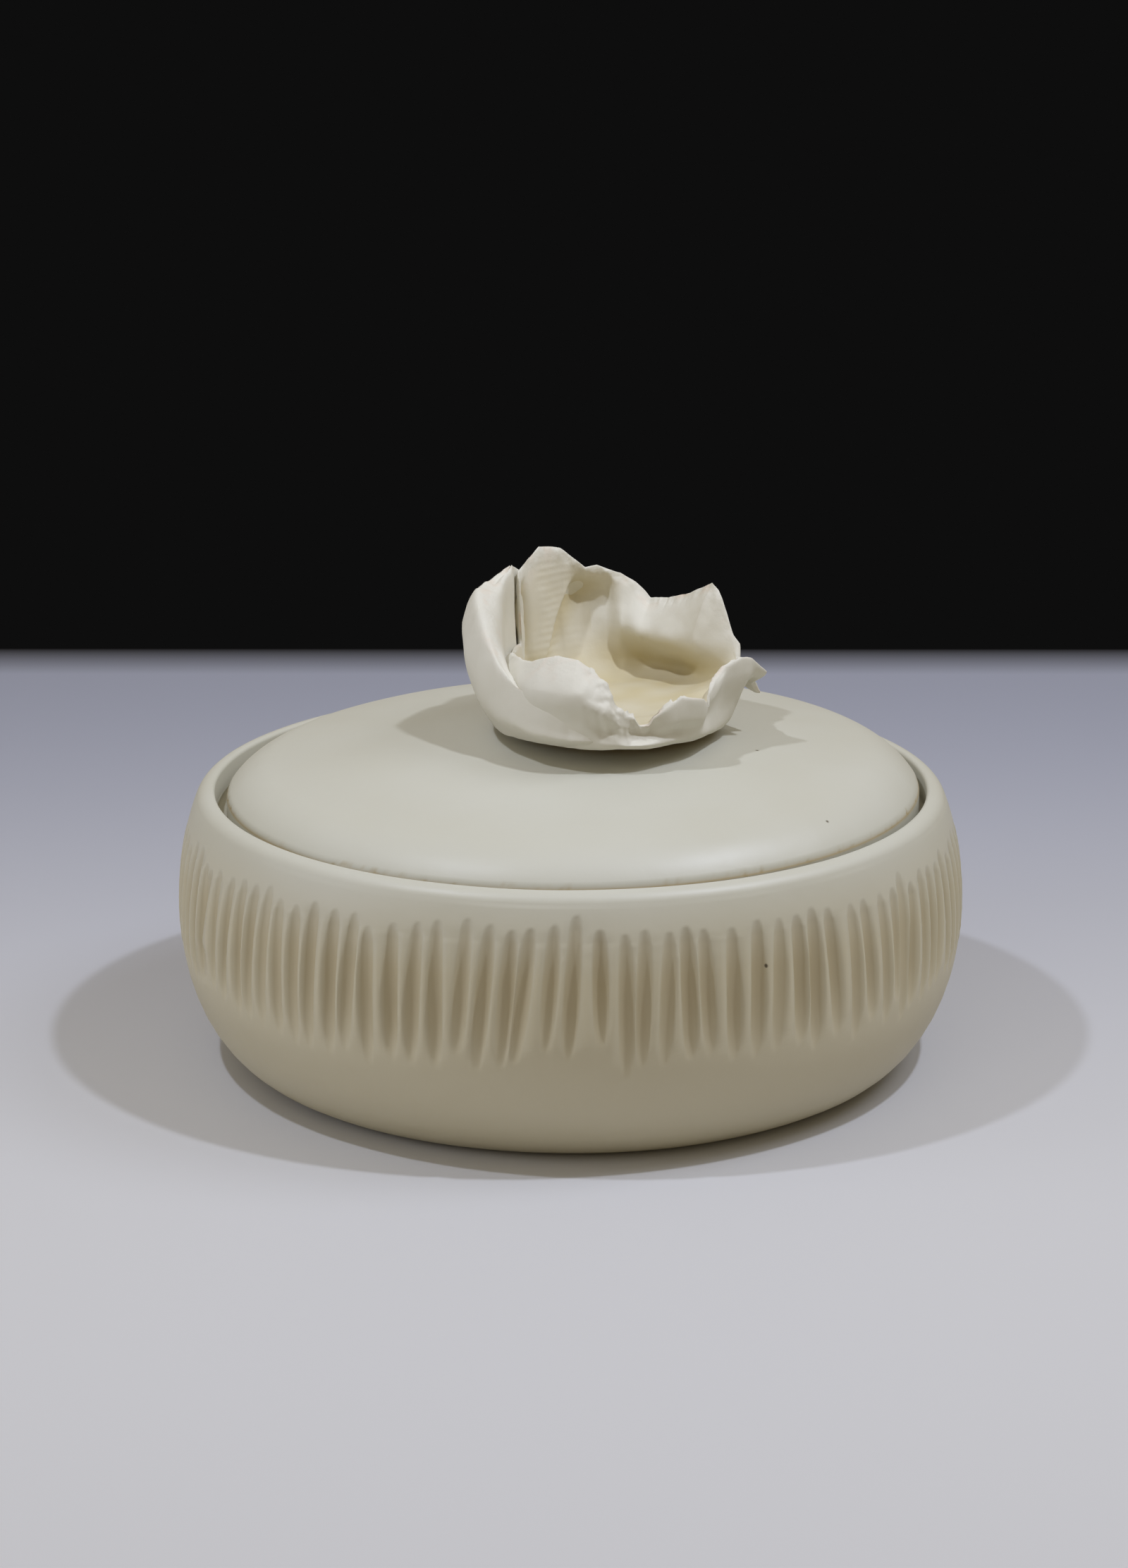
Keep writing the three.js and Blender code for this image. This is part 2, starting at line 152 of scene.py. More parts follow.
bm = bmesh.new()
bmesh.ops.create_grid(bm, x_segments=1, y_segments=1, size=TABLE_REACH)
bmesh.ops.translate(bm, verts=bm.verts, vec=(0, TABLE_BACK - TABLE_REACH, 0))
table_mesh = bpy.data.meshes.new("table")
bm.to_mesh(table_mesh)
bm.free()
table = bpy.data.objects.new("table", table_mesh)
bpy.context.scene.collection.objects.link(table)

laminate, tree = new_material("white_laminate")
place = add_node(tree, "ShaderNodeTexCoord", {}, {})
across = add_node(tree, "ShaderNodeSeparateXYZ", {}, {"Vector": place.outputs["Object"]})
# Painted shade: the table is painted darker and bluer towards the back, where less light reaches it
far = add_node(
    tree, "ShaderNodeMapRange", {"interpolation_type": "SMOOTHSTEP"},
    {"Value": across.outputs["Y"], "From Min": PALE_UNTIL, "From Max": BLUE_FROM},
)
tone = add_node(
    tree, "ShaderNodeMix", MIX_COLOURS,
    {"Factor": far.outputs["Result"], MIX_A: linear("#CBCAC9"), MIX_B: linear("#A2A7BA")},
)
near_edge = {"Value": across.outputs["Y"], "From Min": SOFT_EDGE, "From Max": TABLE_BACK}
dark = add_node(tree, "ShaderNodeMapRange", {}, near_edge)
faded = add_node(
    tree, "ShaderNodeMix", MIX_COLOURS,
    {"Factor": dark.outputs["Result"], MIX_A: tone.outputs[MIXED], MIX_B: linear("#000000")},
)
gloss = add_node(tree, "ShaderNodeMapRange", {}, {**near_edge, "To Min": TABLE_GLOSS, "To Max": 0})
shader = add_node(
    tree, "ShaderNodeBsdfPrincipled", {},
    {
        "Base Color": faded.outputs[MIXED], "Roughness": 0.55, "IOR": 1.49,
        "Specular IOR Level": gloss.outputs["Result"],
    },
)
add_node(tree, "ShaderNodeOutputMaterial", {}, {"Surface": shader.outputs["BSDF"]})
table_mesh.materials.append(laminate)
table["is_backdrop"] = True

world = bpy.data.worlds.new("studio")
world.use_nodes = True
world.node_tree.nodes.clear()
bpy.context.scene.world = world
tree = world.node_tree
path = add_node(tree, "ShaderNodeLightPath", {}, {})
sky = add_node(tree, "ShaderNodeBackground", {}, {"Color": linear("#FFEECB"), "Strength": SKY_STRENGTH})
room = add_node(tree, "ShaderNodeBackground", {}, {"Color": linear("#0E0E0E"), "Strength": 1})
seen = add_node(
    tree, "ShaderNodeMixShader", {},
    {"Fac": path.outputs["Is Camera Ray"], 1: sky.outputs[0], 2: room.outputs[0]},
)
add_node(tree, "ShaderNodeOutputWorld", {}, {"Surface": seen.outputs[0]})
print("table", [round(side, 2) for side in table.dimensions])

# %% [markdown]
# ## Lamps
#
# Two small lamps stand close by on the left and the right, a little in front of the pot and half a metre up.
# Each throws a shadow to the other side and backwards. Three broad, weak panels fill the shadows a little:
# one high on the right, one in front and one low on the left. A lamp of power P at distance d makes a white
# face below it about P / (pi d)^2 bright, and the powers are worked out from that. Each row of the list gives
# a lamp's name, its place and width in metres, and its share of the light on the table.

# %% Lamps
LAMPS = [
    ("lamp_left", (-0.208, -0.116, 0.5), 0.024, 0.26),
    ("lamp_right", (0.208, -0.116, 0.5), 0.024, 0.33),
    ("lamp_overhead", (0.6, 0, 0.8), 0.4, 0.17),
    ("lamp_in_front", (-0.2, -0.65, 0.6), 0.5, 0.03),
    ("lamp_beside", (-0.6, -0.15, 0.2), 0.3, 0.05),
]

for name, place, width, share in LAMPS:
    lamp_data = bpy.data.lights.new(name, "AREA")
    lamp_data.shape = "DISK"
    lamp_data.size = width
    distance = Vector(place).length
    lamp_data.energy = share * (math.pi * distance) ** 2 / (place[2] / distance)
    lamp_data.color = linear("#E2EAFF")[:3]
    lamp = bpy.data.objects.new(name, lamp_data)
    lamp.location = place
    lamp.rotation_euler = Vector(place).to_track_quat("Z", "Y").to_euler()
    bpy.context.scene.collection.objects.link(lamp)
    print(f"{name}: {lamp_data.energy:.2f} W")

# %% [markdown]
# ## Satin glazed stoneware
#
# The bowl and the lid are white stoneware under a thin satin glaze. It is pale and slightly warm, and its
# colour drifts softly over a few centimetres, as the glaze is thicker or thinner. Below the lip the wall is
# painted warmer and darker: partly the thinner glaze, through which the warm clay shines, and partly painted
# warm shade. A few iron specks, each about half a millimetre across, sit far apart: the clay is divided into
# cells, and some cells have a speck in the middle. The glaze follows the grain of the clay and ripples a
# little, both too fine for the mesh, so they are bumps. On a sharp edge the clay itself shows. Where a tool
# cut the clay, the clay colour stands partly for clay that shows in the cuts and partly for painted shade in
# the grooves, and under the knob it is painted shade. The meshes carry an attribute, "bare", that says how
# much.

# %% Satin glazed stoneware
GLAZE_DRIFT = 0.03
THICK_ABOVE = 0.049
THIN_AND_SHADED_BELOW = 0.035
SPECK_SPACING = 0.011
SPECK_RADIUS = 0.00022
SPECKLESS = 0.55
GRAIN = 0.0009
GRAIN_DEPTH = 0.00006
RIPPLE = 0.009
RIPPLE_DEPTH = 0.0003

glazed, tree = new_material("satin_glazed_stoneware")
place = add_node(tree, "ShaderNodeTexCoord", {}, {})
spot = place.outputs["Object"]
drift = add_node(tree, "ShaderNodeTexNoise", {}, {"Vector": spot, "Scale": 1 / GLAZE_DRIFT, "Detail": 3})
glaze = add_node(
    tree, "ShaderNodeMix", MIX_COLOURS,
    {"Factor": drift.outputs["Fac"], MIX_A: linear("#C2BFAD"), MIX_B: linear("#C7C5B7")},
)
height = add_node(tree, "ShaderNodeSeparateXYZ", {}, {"Vector": spot})
# Thinner glaze and painted warm shade: below the lip the wall is mixed towards a warmer, darker colour
thin_glaze_and_shade = add_node(
    tree, "ShaderNodeMapRange", {},
    {"Value": height.outputs["Z"], "From Min": THICK_ABOVE, "From Max": THIN_AND_SHADED_BELOW, "To Max": 0.55},
)
wall = add_node(
    tree, "ShaderNodeMix", MIX_COLOURS,
    {"Factor": thin_glaze_and_shade.outputs["Result"], MIX_A: glaze.outputs[MIXED], MIX_B: linear("#C5B68D")},
)
# This clay colour is also painted shade: in the grooves of the flutes and under the knob
bare = add_node(tree, "ShaderNodeAttribute", {"attribute_name": "bare"}, {})
clay_and_shade = add_node(
    tree, "ShaderNodeMix", MIX_COLOURS,
    {"Factor": bare.outputs["Fac"], MIX_A: wall.outputs[MIXED], MIX_B: linear("#A6936A")},
)
cells = add_node(
    tree, "ShaderNodeTexVoronoi", {}, {"Vector": spot, "Scale": 1 / SPECK_SPACING, "Randomness": 1},
)
dot = add_node(
    tree, "ShaderNodeMapRange", {},
    {
        "Value": cells.outputs["Distance"],
        "From Min": SPECK_RADIUS / SPECK_SPACING * 2,
        "From Max": SPECK_RADIUS / SPECK_SPACING,
    },
)
pick = add_node(tree, "ShaderNodeSeparateColor", {}, {"Color": cells.outputs["Color"]})
rare = add_node(
    tree, "ShaderNodeMath", {"operation": "GREATER_THAN"}, {0: pick.outputs["Red"], 1: SPECKLESS},
)
speck = add_node(
    tree, "ShaderNodeMath", {"operation": "MULTIPLY"}, {0: dot.outputs["Result"], 1: rare.outputs[0]},
)
body = add_node(
    tree, "ShaderNodeMix", MIX_COLOURS,
    {"Factor": speck.outputs[0], MIX_A: clay_and_shade.outputs[MIXED], MIX_B: linear("#5A4F38")},
)
grain = add_node(tree, "ShaderNodeTexNoise", {}, {"Vector": spot, "Scale": 1 / GRAIN, "Detail": 2})
ripple = add_node(tree, "ShaderNodeTexNoise", {}, {"Vector": spot, "Scale": 1 / RIPPLE, "Detail": 2})
fine = add_node(
    tree, "ShaderNodeBump", {},
    {"Height": grain.outputs["Fac"], "Strength": 0.25, "Distance": GRAIN_DEPTH},
)
uneven = add_node(
    tree, "ShaderNodeBump", {},
    {
        "Height": ripple.outputs["Fac"], "Strength": 0.5, "Distance": RIPPLE_DEPTH,
        "Normal": fine.outputs[0],
    },
)
sheen = add_node(
    tree, "ShaderNodeMapRange", {},
    {"Value": drift.outputs["Fac"], "From Min": 0.3, "From Max": 0.7, "To Min": 0.4, "To Max": 0.52},
)
shader = add_node(
    tree, "ShaderNodeBsdfPrincipled", {},
    {
        "Base Color": body.outputs[MIXED], "Roughness": sheen.outputs["Result"], "IOR": 1.5,
        "Normal": uneven.outputs[0],
    },
)
add_node(tree, "ShaderNodeOutputMaterial", {}, {"Surface": shader.outputs["BSDF"]})
print("material", glazed.name)

# %% [markdown]
# ## Torn porcelain
#
# The knob is a softer, warmer clay, pinched thin and torn, with hardly any glaze. Its faces are dry and a
# little chalky, its torn edges are rough and slightly pink where they stayed bare. The grain of a tear is
# about half a millimetre, and it shows only near the edges. The hollows are painted darker and yellower, as
# painted shade, and an attribute on the cup says how much.

# %% Torn porcelain
CLAY_DRIFT = 0.012
PINK_PATCH = 0.004
TEAR_GRAIN = 0.0006
TEAR_DEPTH = 0.00015

porcelain, tree = new_material("torn_porcelain")
place = add_node(tree, "ShaderNodeTexCoord", {}, {})
spot = place.outputs["Object"]
drift = add_node(tree, "ShaderNodeTexNoise", {}, {"Vector": spot, "Scale": 1 / CLAY_DRIFT, "Detail": 4})
skin = add_node(
    tree, "ShaderNodeMix", MIX_COLOURS,
    {"Factor": drift.outputs["Fac"], MIX_A: linear("#D2CDBC"), MIX_B: linear("#DAD7C9")},
)
bare = add_node(tree, "ShaderNodeAttribute", {"attribute_name": "bare"}, {})
patches = add_node(
    tree, "ShaderNodeTexNoise", {}, {"Vector": spot, "Scale": 1 / PINK_PATCH, "Detail": 2},
)
pink = add_node(
    tree, "ShaderNodeMapRange", {},
    {"Value": patches.outputs["Fac"], "From Min": 0.5, "From Max": 0.7, "To Max": 0.6},
)
edge = add_node(
    tree, "ShaderNodeMath", {"operation": "MULTIPLY"}, {0: bare.outputs["Fac"], 1: pink.outputs["Result"]},
)
# Painted shade: the hollows of the cup are mixed towards a darker, yellower colour
pooled = add_node(tree, "ShaderNodeAttribute", {"attribute_name": "pooled"}, {})
shaded_skin = add_node(
    tree, "ShaderNodeMix", MIX_COLOURS,
    {"Factor": pooled.outputs["Fac"], MIX_A: skin.outputs[MIXED], MIX_B: linear("#C6B992")},
)
clay_and_shade = add_node(
    tree, "ShaderNodeMix", MIX_COLOURS,
    {"Factor": edge.outputs[0], MIX_A: shaded_skin.outputs[MIXED], MIX_B: linear("#D8BFA6")},
)
tear = add_node(tree, "ShaderNodeTexNoise", {}, {"Vector": spot, "Scale": 1 / TEAR_GRAIN, "Detail": 3})
rough = add_node(
    tree, "ShaderNodeMapRange", {}, {"Value": bare.outputs["Fac"], "To Min": 0.15, "To Max": 0.8},
)
torn = add_node(
    tree, "ShaderNodeBump", {},
    {"Height": tear.outputs["Fac"], "Strength": rough.outputs["Result"], "Distance": TEAR_DEPTH},
)
shader = add_node(
    tree, "ShaderNodeBsdfPrincipled", {},
    {"Base Color": clay_and_shade.outputs[MIXED], "Roughness": 0.62, "IOR": 1.5, "Normal": torn.outputs[0]},
)
add_node(tree, "ShaderNodeOutputMaterial", {}, {"Surface": shader.outputs["BSDF"]})
print("material", porcelain.name)

# %% [markdown]
# ## Turning on the wheel
#
# Bowl and lid are thrown, so they start as a profile spun round the upright axis. The profile is a list of
# (radius, height) points in millimetres. A spin of many hundred steps is slow, because every step searches
# all that is there, so only a wedge is spun. It is copied round the axis, and the seams are merged.

# %% Turning helpers
MERGE_DISTANCE = 0.001


def arc(centre, across, up, start, end, steps):
    angles = np.radians(np.linspace(start, end, steps + 1))
    return [(centre[0] + across * math.cos(a), centre[1] + up * math.sin(a)) for a in angles]


def turned(profile, columns, wedges):
    bm = bmesh.new()
    points = [bm.verts.new((radius, 0, height)) for radius, height in profile]
    edges = [bm.edges.new(pair) for pair in zip(points, points[1:])]
    wedge = 2 * math.pi / wedges
    bmesh.ops.spin(
        bm, geom=points + edges, axis=(0, 0, 1), cent=(0, 0, 0), angle=wedge, steps=columns // wedges,
    )
    first = bm.verts[:] + bm.edges[:] + bm.faces[:]
    for i in range(1, wedges):
        copy = bmesh.ops.duplicate(bm, geom=first)["geom"]
        verts = [part for part in copy if isinstance(part, bmesh.types.BMVert)]
        bmesh.ops.rotate(bm, verts=verts, cent=(0, 0, 0), matrix=Matrix.Rotation(i * wedge, 3, "Z"))
    bmesh.ops.remove_doubles(bm, verts=bm.verts, dist=MERGE_DISTANCE)
    bmesh.ops.recalc_face_normals(bm, faces=bm.faces)
    return bm


def finished(bm, name, material, **shares):
    """Turn a mesh in millimetres into a smooth piece in metres, with the shares its material reads."""
    bm.normal_update()
    bmesh.ops.scale(bm, verts=bm.verts, vec=(0.001, 0.001, 0.001))
    mesh = bpy.data.meshes.new(name)
    bm.to_mesh(mesh)
    bm.free()
    mesh.polygons.foreach_set("use_smooth", [True] * len(mesh.polygons))
    for kind, values in shares.items():
        share = mesh.attributes.new(kind, "FLOAT", "POINT")
        share.data.foreach_set("value", np.clip(values, 0, 1).astype(np.float32))
    mesh.materials.append(material)
    piece = bpy.data.objects.new(name, mesh)
    bpy.context.scene.collection.objects.link(piece)
    triangles = sum(len(face.vertices) - 2 for face in mesh.polygons)
    print(f"{name}: {triangles} triangles, {[round(1000 * side, 1) for side in piece.dimensions]} mm")
    return piece


def wander(point, size, seed=0):
    """Smooth noise between about -1 and 1 that changes over the given size, in millimetres."""
    return noise.noise(Vector(point) / size + Vector((seed * 17.3, seed * 5.1, seed * 9.7)))


def bumps(point, layers):
    """Noise of several sizes on top of each other. Each layer is given by its height, size and seed."""
    return sum(height * wander(point, size, seed) for height, size, seed in layers)


def dents(point, layers):
    """Noise in layers that only presses in: each of them lies between 0 and about twice its height."""
    return sum(height * (1 + wander(point, size, seed)) for height, size, seed in layers)


def held(value):
    """A number held between 0 and 1."""
    return min(1, max(0, value))


def point_at(turn, away, up=0):
    """The point at an angle in radians, a distance from the axis and a height."""
    return (away * math.cos(turn), away * math.sin(turn), up)


print("noise at the origin:", round(wander((0, 0, 0), 1, 1), 3))


# %% [markdown]
# ## Bowl: the thrown shape
#
# Outside, the wall is two quarter ellipses that meet at the belly, and the upper one is a little taller.
# Inside the lip a step, the gallery, holds the lid. Every flute gets nine columns of points, so that the
# carving can follow its edges, and the rows lie closer where the flutes have their heads. All heights are
# above the table.

# %% Bowl profile
BOWL_RADIUS = 70
BOWL_HEIGHT = 49
BELLY_HEIGHT = 28
BELLY_BULGE = 16
BELLY_RISE = 31
BASE_RADIUS = BOWL_RADIUS - BELLY_BULGE
WALL = 5.5
FLOOR = 6
GALLERY_RADIUS = 63
LEDGE_HEIGHT = 44
LEDGE_RADIUS = 58
LIP_ROUND = 3
LIP_START = 20
LIP_EDGE = 0.7
LEDGE_CORNER = 0.7
LEDGE_EDGE = 0.5
LEDGE_NOSE = 2
INSIDE_TOP = 28
FLAT_RADIUS = 30
FOOT_RECESS = 1.2

FLUTES = 114
COLUMNS = 9
BELT_LOW = 16.5
HEADS_LOW = 38
HEADS_HIGH = 46
BELT_HIGH = 46.8


def wall_radius(height):
    height = np.asarray(height)
    rise = (height - BELLY_HEIGHT) / np.where(height < BELLY_HEIGHT, BELLY_HEIGHT, BELLY_RISE)
    return BASE_RADIUS + BELLY_BULGE * np.sqrt(np.maximum(0, 1 - rise**2))


def wall_angle(height):
    return math.degrees(math.asin((height - BELLY_HEIGHT) / BELLY_HEIGHT))


belly = (BASE_RADIUS, BELLY_HEIGHT)
lip_top = GALLERY_RADIUS + LIP_EDGE
lip_start = BOWL_HEIGHT - LIP_ROUND * (1 - math.sin(math.radians(LIP_START)))
lip_across = (float(wall_radius(lip_start)) - lip_top) / math.cos(math.radians(LIP_START))
strokes = np.linspace(BELT_LOW, HEADS_LOW, 26)[:-1]
heads = np.linspace(HEADS_LOW, HEADS_HIGH, 24)[:-1]
rows = [*strokes, *heads, HEADS_HIGH, 46.4, BELT_HIGH]
belt = [(float(wall_radius(height)), float(height)) for height in rows]
recess = [(radius, FOOT_RECESS) for radius in (0, FLAT_RADIUS, 46.2)]
foot = [(46.9, 1), (47.5, 0.4), (48.3, 0.05), (50, 0)]
profile = [
    *recess,
    *foot,
    *arc(belly, BELLY_BULGE, BELLY_HEIGHT, -90, wall_angle(BELT_LOW), 9)[:-1],
    *belt,
    *arc((lip_top, BOWL_HEIGHT - LIP_ROUND), lip_across, LIP_ROUND, LIP_START, 90, 8),
    *arc((lip_top, BOWL_HEIGHT - LIP_EDGE), LIP_EDGE, LIP_EDGE, 90, 180, 4)[1:],
    *arc((GALLERY_RADIUS - LEDGE_CORNER, LEDGE_HEIGHT + LEDGE_CORNER), LEDGE_CORNER, LEDGE_CORNER, 0, -90, 3),
    *arc((LEDGE_RADIUS + LEDGE_EDGE, LEDGE_HEIGHT - LEDGE_EDGE), LEDGE_EDGE, LEDGE_EDGE, 90, 180, 2),
    (LEDGE_RADIUS, LEDGE_HEIGHT - LEDGE_NOSE),
    *arc(belly, BELLY_BULGE - WALL, BELLY_HEIGHT - FLOOR, INSIDE_TOP, -90, 7),
    (FLAT_RADIUS, FLOOR),
    (0, FLOOR),
]
bowl_mesh = turned(profile, FLUTES * COLUMNS, wedges=19)
print(f"profile of {len(profile)} points, {FLUTES * COLUMNS} columns")

# %% [markdown]
# ## Bowl: the carved flutes
#
# Each flute is one stroke of a round-nosed loop tool, drawn down the leather-hard wall. No two are alike.
# Those that face the camera are placed where the photograph shows them: the top and the bottom of each were
# read off as a pixel. A look from the camera through that pixel meets the wall where the flute ends, so
# the look is followed in small steps until it is inside the wall. The flutes behind can't be seen. They are
# spread evenly, and an uneven hand makes them stray. Sizes are in millimetres and leans in degrees.

# %% Places of the flutes
TOP = 42.8
BOTTOM = 20.1
DEPTH = 1.2
SIDE_LEAN = 1.5

# How far the hand strays: a flute's ends, its depth as a share, its lean, and where it is widest
END_STRAY = 1.1
DEPTH_STRAY = 0.15
LEAN_STRAY = 0.9
WIDEST_STRAY = 0.08

# Odd numbers that mix up a flute's number and a habit, so that the result looks like chance
MIX_FLUTE = 12.9898
MIX_HABIT = 78.233
MIX_SPREAD = 43758.5453

# From left to right: column and row of the top, then of the bottom, in the photo's 1600 by 2224 pixels
FIRST_IN_FRONT = 65
SEEN_IN_FRONT = [
    (298, 1234, 284, 1393), (311, 1235, 303, 1403), (329, 1245, 317, 1418), (346, 1248, 339, 1437),
    (363, 1255, 353, 1444), (383, 1256, 373, 1455), (397, 1276, 397, 1467), (420, 1285, 419, 1480),
    (447, 1280, 439, 1485), (475, 1291, 468, 1492), (503, 1296, 489, 1489), (521, 1316, 523, 1507),
    (557, 1311, 555, 1501), (592, 1309, 583, 1508), (620, 1307, 618, 1513), (663, 1304, 648, 1496),
    (695, 1313, 676, 1519), (726, 1321, 710, 1513), (753, 1318, 729, 1509), (787, 1314, 773, 1493),
    (818, 1300, 805, 1502), (851, 1321, 853, 1484), (887, 1327, 889, 1529), (915, 1321, 911, 1513),
    (950, 1323, 942, 1513), (973, 1316, 980, 1503), (998, 1319, 1008, 1496), (1038, 1317, 1041, 1503),
    (1074, 1306, 1072, 1500), (1105, 1304, 1101, 1492), (1130, 1299, 1136, 1480), (1151, 1289, 1157, 1487),
    (1174, 1289, 1188, 1469), (1207, 1283, 1213, 1473), (1225, 1277, 1237, 1447), (1249, 1269, 1256, 1451),
    (1267, 1260, 1274, 1420), (1275, 1238, 1277, 1448), (1293, 1252, 1291, 1427), (1305, 1233, 1307, 1419),
    (1317, 1229, 1320, 1403), (1328, 1223, 1329, 1392),
]

# The wall lies somewhere between these two distances from the camera
NEAREST_CLAY = 560
FURTHEST_CLAY = 700
LOOKS = 2801


def place_on_wall(column, row):
    """Angle and height of the first place on the wall that the camera's look through a pixel meets."""
    right, up = column - FRAME_WIDTH / 2, FRAME_HEIGHT / 2 - row
    look = camera.rotation_euler.to_matrix() @ Vector((right, up, -FOCAL_PIXELS)).normalized()
    steps = np.linspace(NEAREST_CLAY, FURTHEST_CLAY, LOOKS)
    x, y, z = (1000 * CAMERA_PLACE[axis] + look[axis] * steps for axis in range(3))
    first = int(np.argmax(np.hypot(x, y) < wall_radius(z)))
    return math.atan2(y[first], x[first]) % (2 * math.pi), z[first]


def hand(habit):
    """How an uneven hand strays, between -1 and 1: one number for each flute."""
    mixed = np.sin(np.arange(FLUTES) * MIX_FLUTE + habit * MIX_HABIT) * MIX_SPREAD
    return 2 * (mixed - np.floor(mixed)) - 1


middles = (np.arange(FLUTES) + 0.5) / FLUTES * 2 * math.pi
tops = TOP + END_STRAY * hand(1)
bottoms = BOTTOM + END_STRAY * hand(2)
depths = DEPTH * (1 + DEPTH_STRAY * hand(3))
slopes = np.tan(np.radians(SIDE_LEAN * np.cos(middles) + LEAN_STRAY * hand(4))) / BOWL_RADIUS
widest = 0.5 + WIDEST_STRAY * hand(5)
for flute, (top_column, top_row, bottom_column, bottom_row) in enumerate(SEEN_IN_FRONT, FIRST_IN_FRONT):
    middles[flute], tops[flute] = place_on_wall(top_column, top_row)
    end, bottoms[flute] = place_on_wall(bottom_column, bottom_row)
    slopes[flute] = (end - middles[flute]) / (tops[flute] - bottoms[flute])
print(f"{len(SEEN_IN_FRONT)} of {FLUTES} flutes placed by eye")

# %% [markdown]
# ## Bowl: how deep a flute cuts
#
# A stroke bites quickly, is widest half way down and runs out to a point. Three small functions say all that
# the carving needs to know of a flute at some height: how deep its middle is and where that lies, how deep it
# cuts at an angle beside the middle, and where its edges are. They take whole arrays, so all points of the
# belt are worked out at once.

# %% Depth and edges of a flute
TOOL_RADIUS = 1.65
NOSE_SHARE = 0.1
FIRST_BITE = 0.36
RUN_OUT = 0.8
LEAST_HALF_WIDTH = 1.2


def stroke(flute, height):
    """Depth of a flute's middle line, and the angle at which that line stands, at a height."""
    share = np.clip((tops[flute] - height) / (tops[flute] - bottoms[flute]), 0, 1)
    peak = widest[flute]
    down = np.sin(np.clip(share / peak, 0, 1) * math.pi / 2)
    out = np.cos(np.clip((share - peak) / (1 - peak), 0, 1) * math.pi / 2) ** RUN_OUT
    nose = np.sqrt(np.clip(share / NOSE_SHARE, 0, 1))
    bite = depths[flute] * nose * np.where(share < peak, FIRST_BITE + (1 - FIRST_BITE) * down, out)
    line = middles[flute] + slopes[flute] * (tops[flute] - height)
    return bite, line


def cut_at(flute, angle, height):
    """Depth of the cut of a flute at an angle and a height: the round nose of the tool."""
    bite, line = stroke(flute, height)
    turn = (angle - line + math.pi) % (2 * math.pi) - math.pi
    across = np.clip(np.abs(turn) * BOWL_RADIUS / TOOL_RADIUS, 0, 1)
    return np.maximum(0, bite - TOOL_RADIUS * (1 - np.sqrt(1 - across**2)))


def groove_edge(flute, side, height):
    """Angle of a flute's edge at a height: its left one for side -1, its right one for side 1."""
    bite, line = stroke(flute, height)
    half = np.sqrt(2 * TOOL_RADIUS * bite - bite**2)
    return line + side * np.maximum(half, LEAST_HALF_WIDTH) / BOWL_RADIUS


deepest = stroke(FIRST_IN_FRONT, (tops[FIRST_IN_FRONT] + bottoms[FIRST_IN_FRONT]) / 2)[0]
print(f"the first flute in front is {float(deepest):.2f} mm deep half way down")

# %% [markdown]
# ## Bowl: moving the clay
#
# Now every point of the belt is moved. The nine columns of a flute go sideways to sit across it, edge to
# edge, and then in by the depth of the cut. Where two strokes meet, the deeper one wins, which leaves the
# thin ridge that catches the light. The ridges stand a hair proud and crumble a little. Smooth noise pulls
# the whole wall in by a hair, because no thrown wall is perfectly round.

# %% Carve the flutes
CLOSE = 0.01
FADE_BELOW = 1.5
FADE_ABOVE = 0.6
RIDGE_ABOVE_BOTTOM = 3
RIDGE_BELOW_TOP = 2
SKIN = 0.12
OUT_OF_ROUND = [(0.12, 26, 0), (0.03, 6, 1)]
CRUMBS = [(0.1, 1.2, 2)]
LIP_WAVE = [(0.08, 18, 16)]
SHADE_AND_BARE_IN_CUTS = 0.45
LEAST_RIDGE = 0.12
RIDGE_LIFT = 0.07

bowl_mesh.verts.ensure_lookup_table()
places = np.array([vert.co for vert in bowl_mesh.verts])
radii = np.hypot(places[:, 0], places[:, 1])
heights = places[:, 2]
turns = np.arctan2(places[:, 1], places[:, 0]) / (2 * math.pi)
columns = np.round(turns * FLUTES * COLUMNS).astype(int) % (FLUTES * COLUMNS)
angles = columns / (FLUTES * COLUMNS) * 2 * math.pi
flutes, steps = columns // COLUMNS, columns % COLUMNS
outside = np.abs(radii - wall_radius(heights)) < CLOSE
belted = outside & (heights > BELT_LOW - CLOSE) & (heights < BELT_HIGH + CLOSE)
lip_share = np.clip((BOWL_HEIGHT - heights) / (BOWL_HEIGHT - lip_start), 0, 1) ** 0.5
inward = np.where(outside | ((heights > lip_start) & (radii > lip_top)), lip_share, 0)

starts = groove_edge(flutes, -1, heights)
ends = groove_edge(flutes, 1, heights)
before = groove_edge((flutes - 1) % FLUTES, 1, heights) - np.where(flutes == 0, 2 * math.pi, 0)
after = groove_edge((flutes + 1) % FLUTES, -1, heights) + np.where(flutes == FLUTES - 1, 2 * math.pi, 0)
half_ridge = LEAST_RIDGE / 2 / BOWL_RADIUS
starts = np.where(before > starts - 2 * half_ridge, (before + starts) / 2 + half_ridge, starts)
ends = np.where(after < ends + 2 * half_ridge, (after + ends) / 2 - half_ridge, ends)
followed = starts + (ends - starts) * steps / (COLUMNS - 1)
fade = np.clip((heights - BELT_LOW) / FADE_BELOW, 0, 1) * np.clip((BELT_HIGH - heights) / FADE_ABOVE, 0, 1)
angles = np.where(belted, angles + (followed - angles) * fade, angles)
cuts = np.maximum.reduce([cut_at((flutes + offset) % FLUTES, angles, heights) for offset in (-1, 0, 1)])
cuts = np.where(belted, cuts, 0)

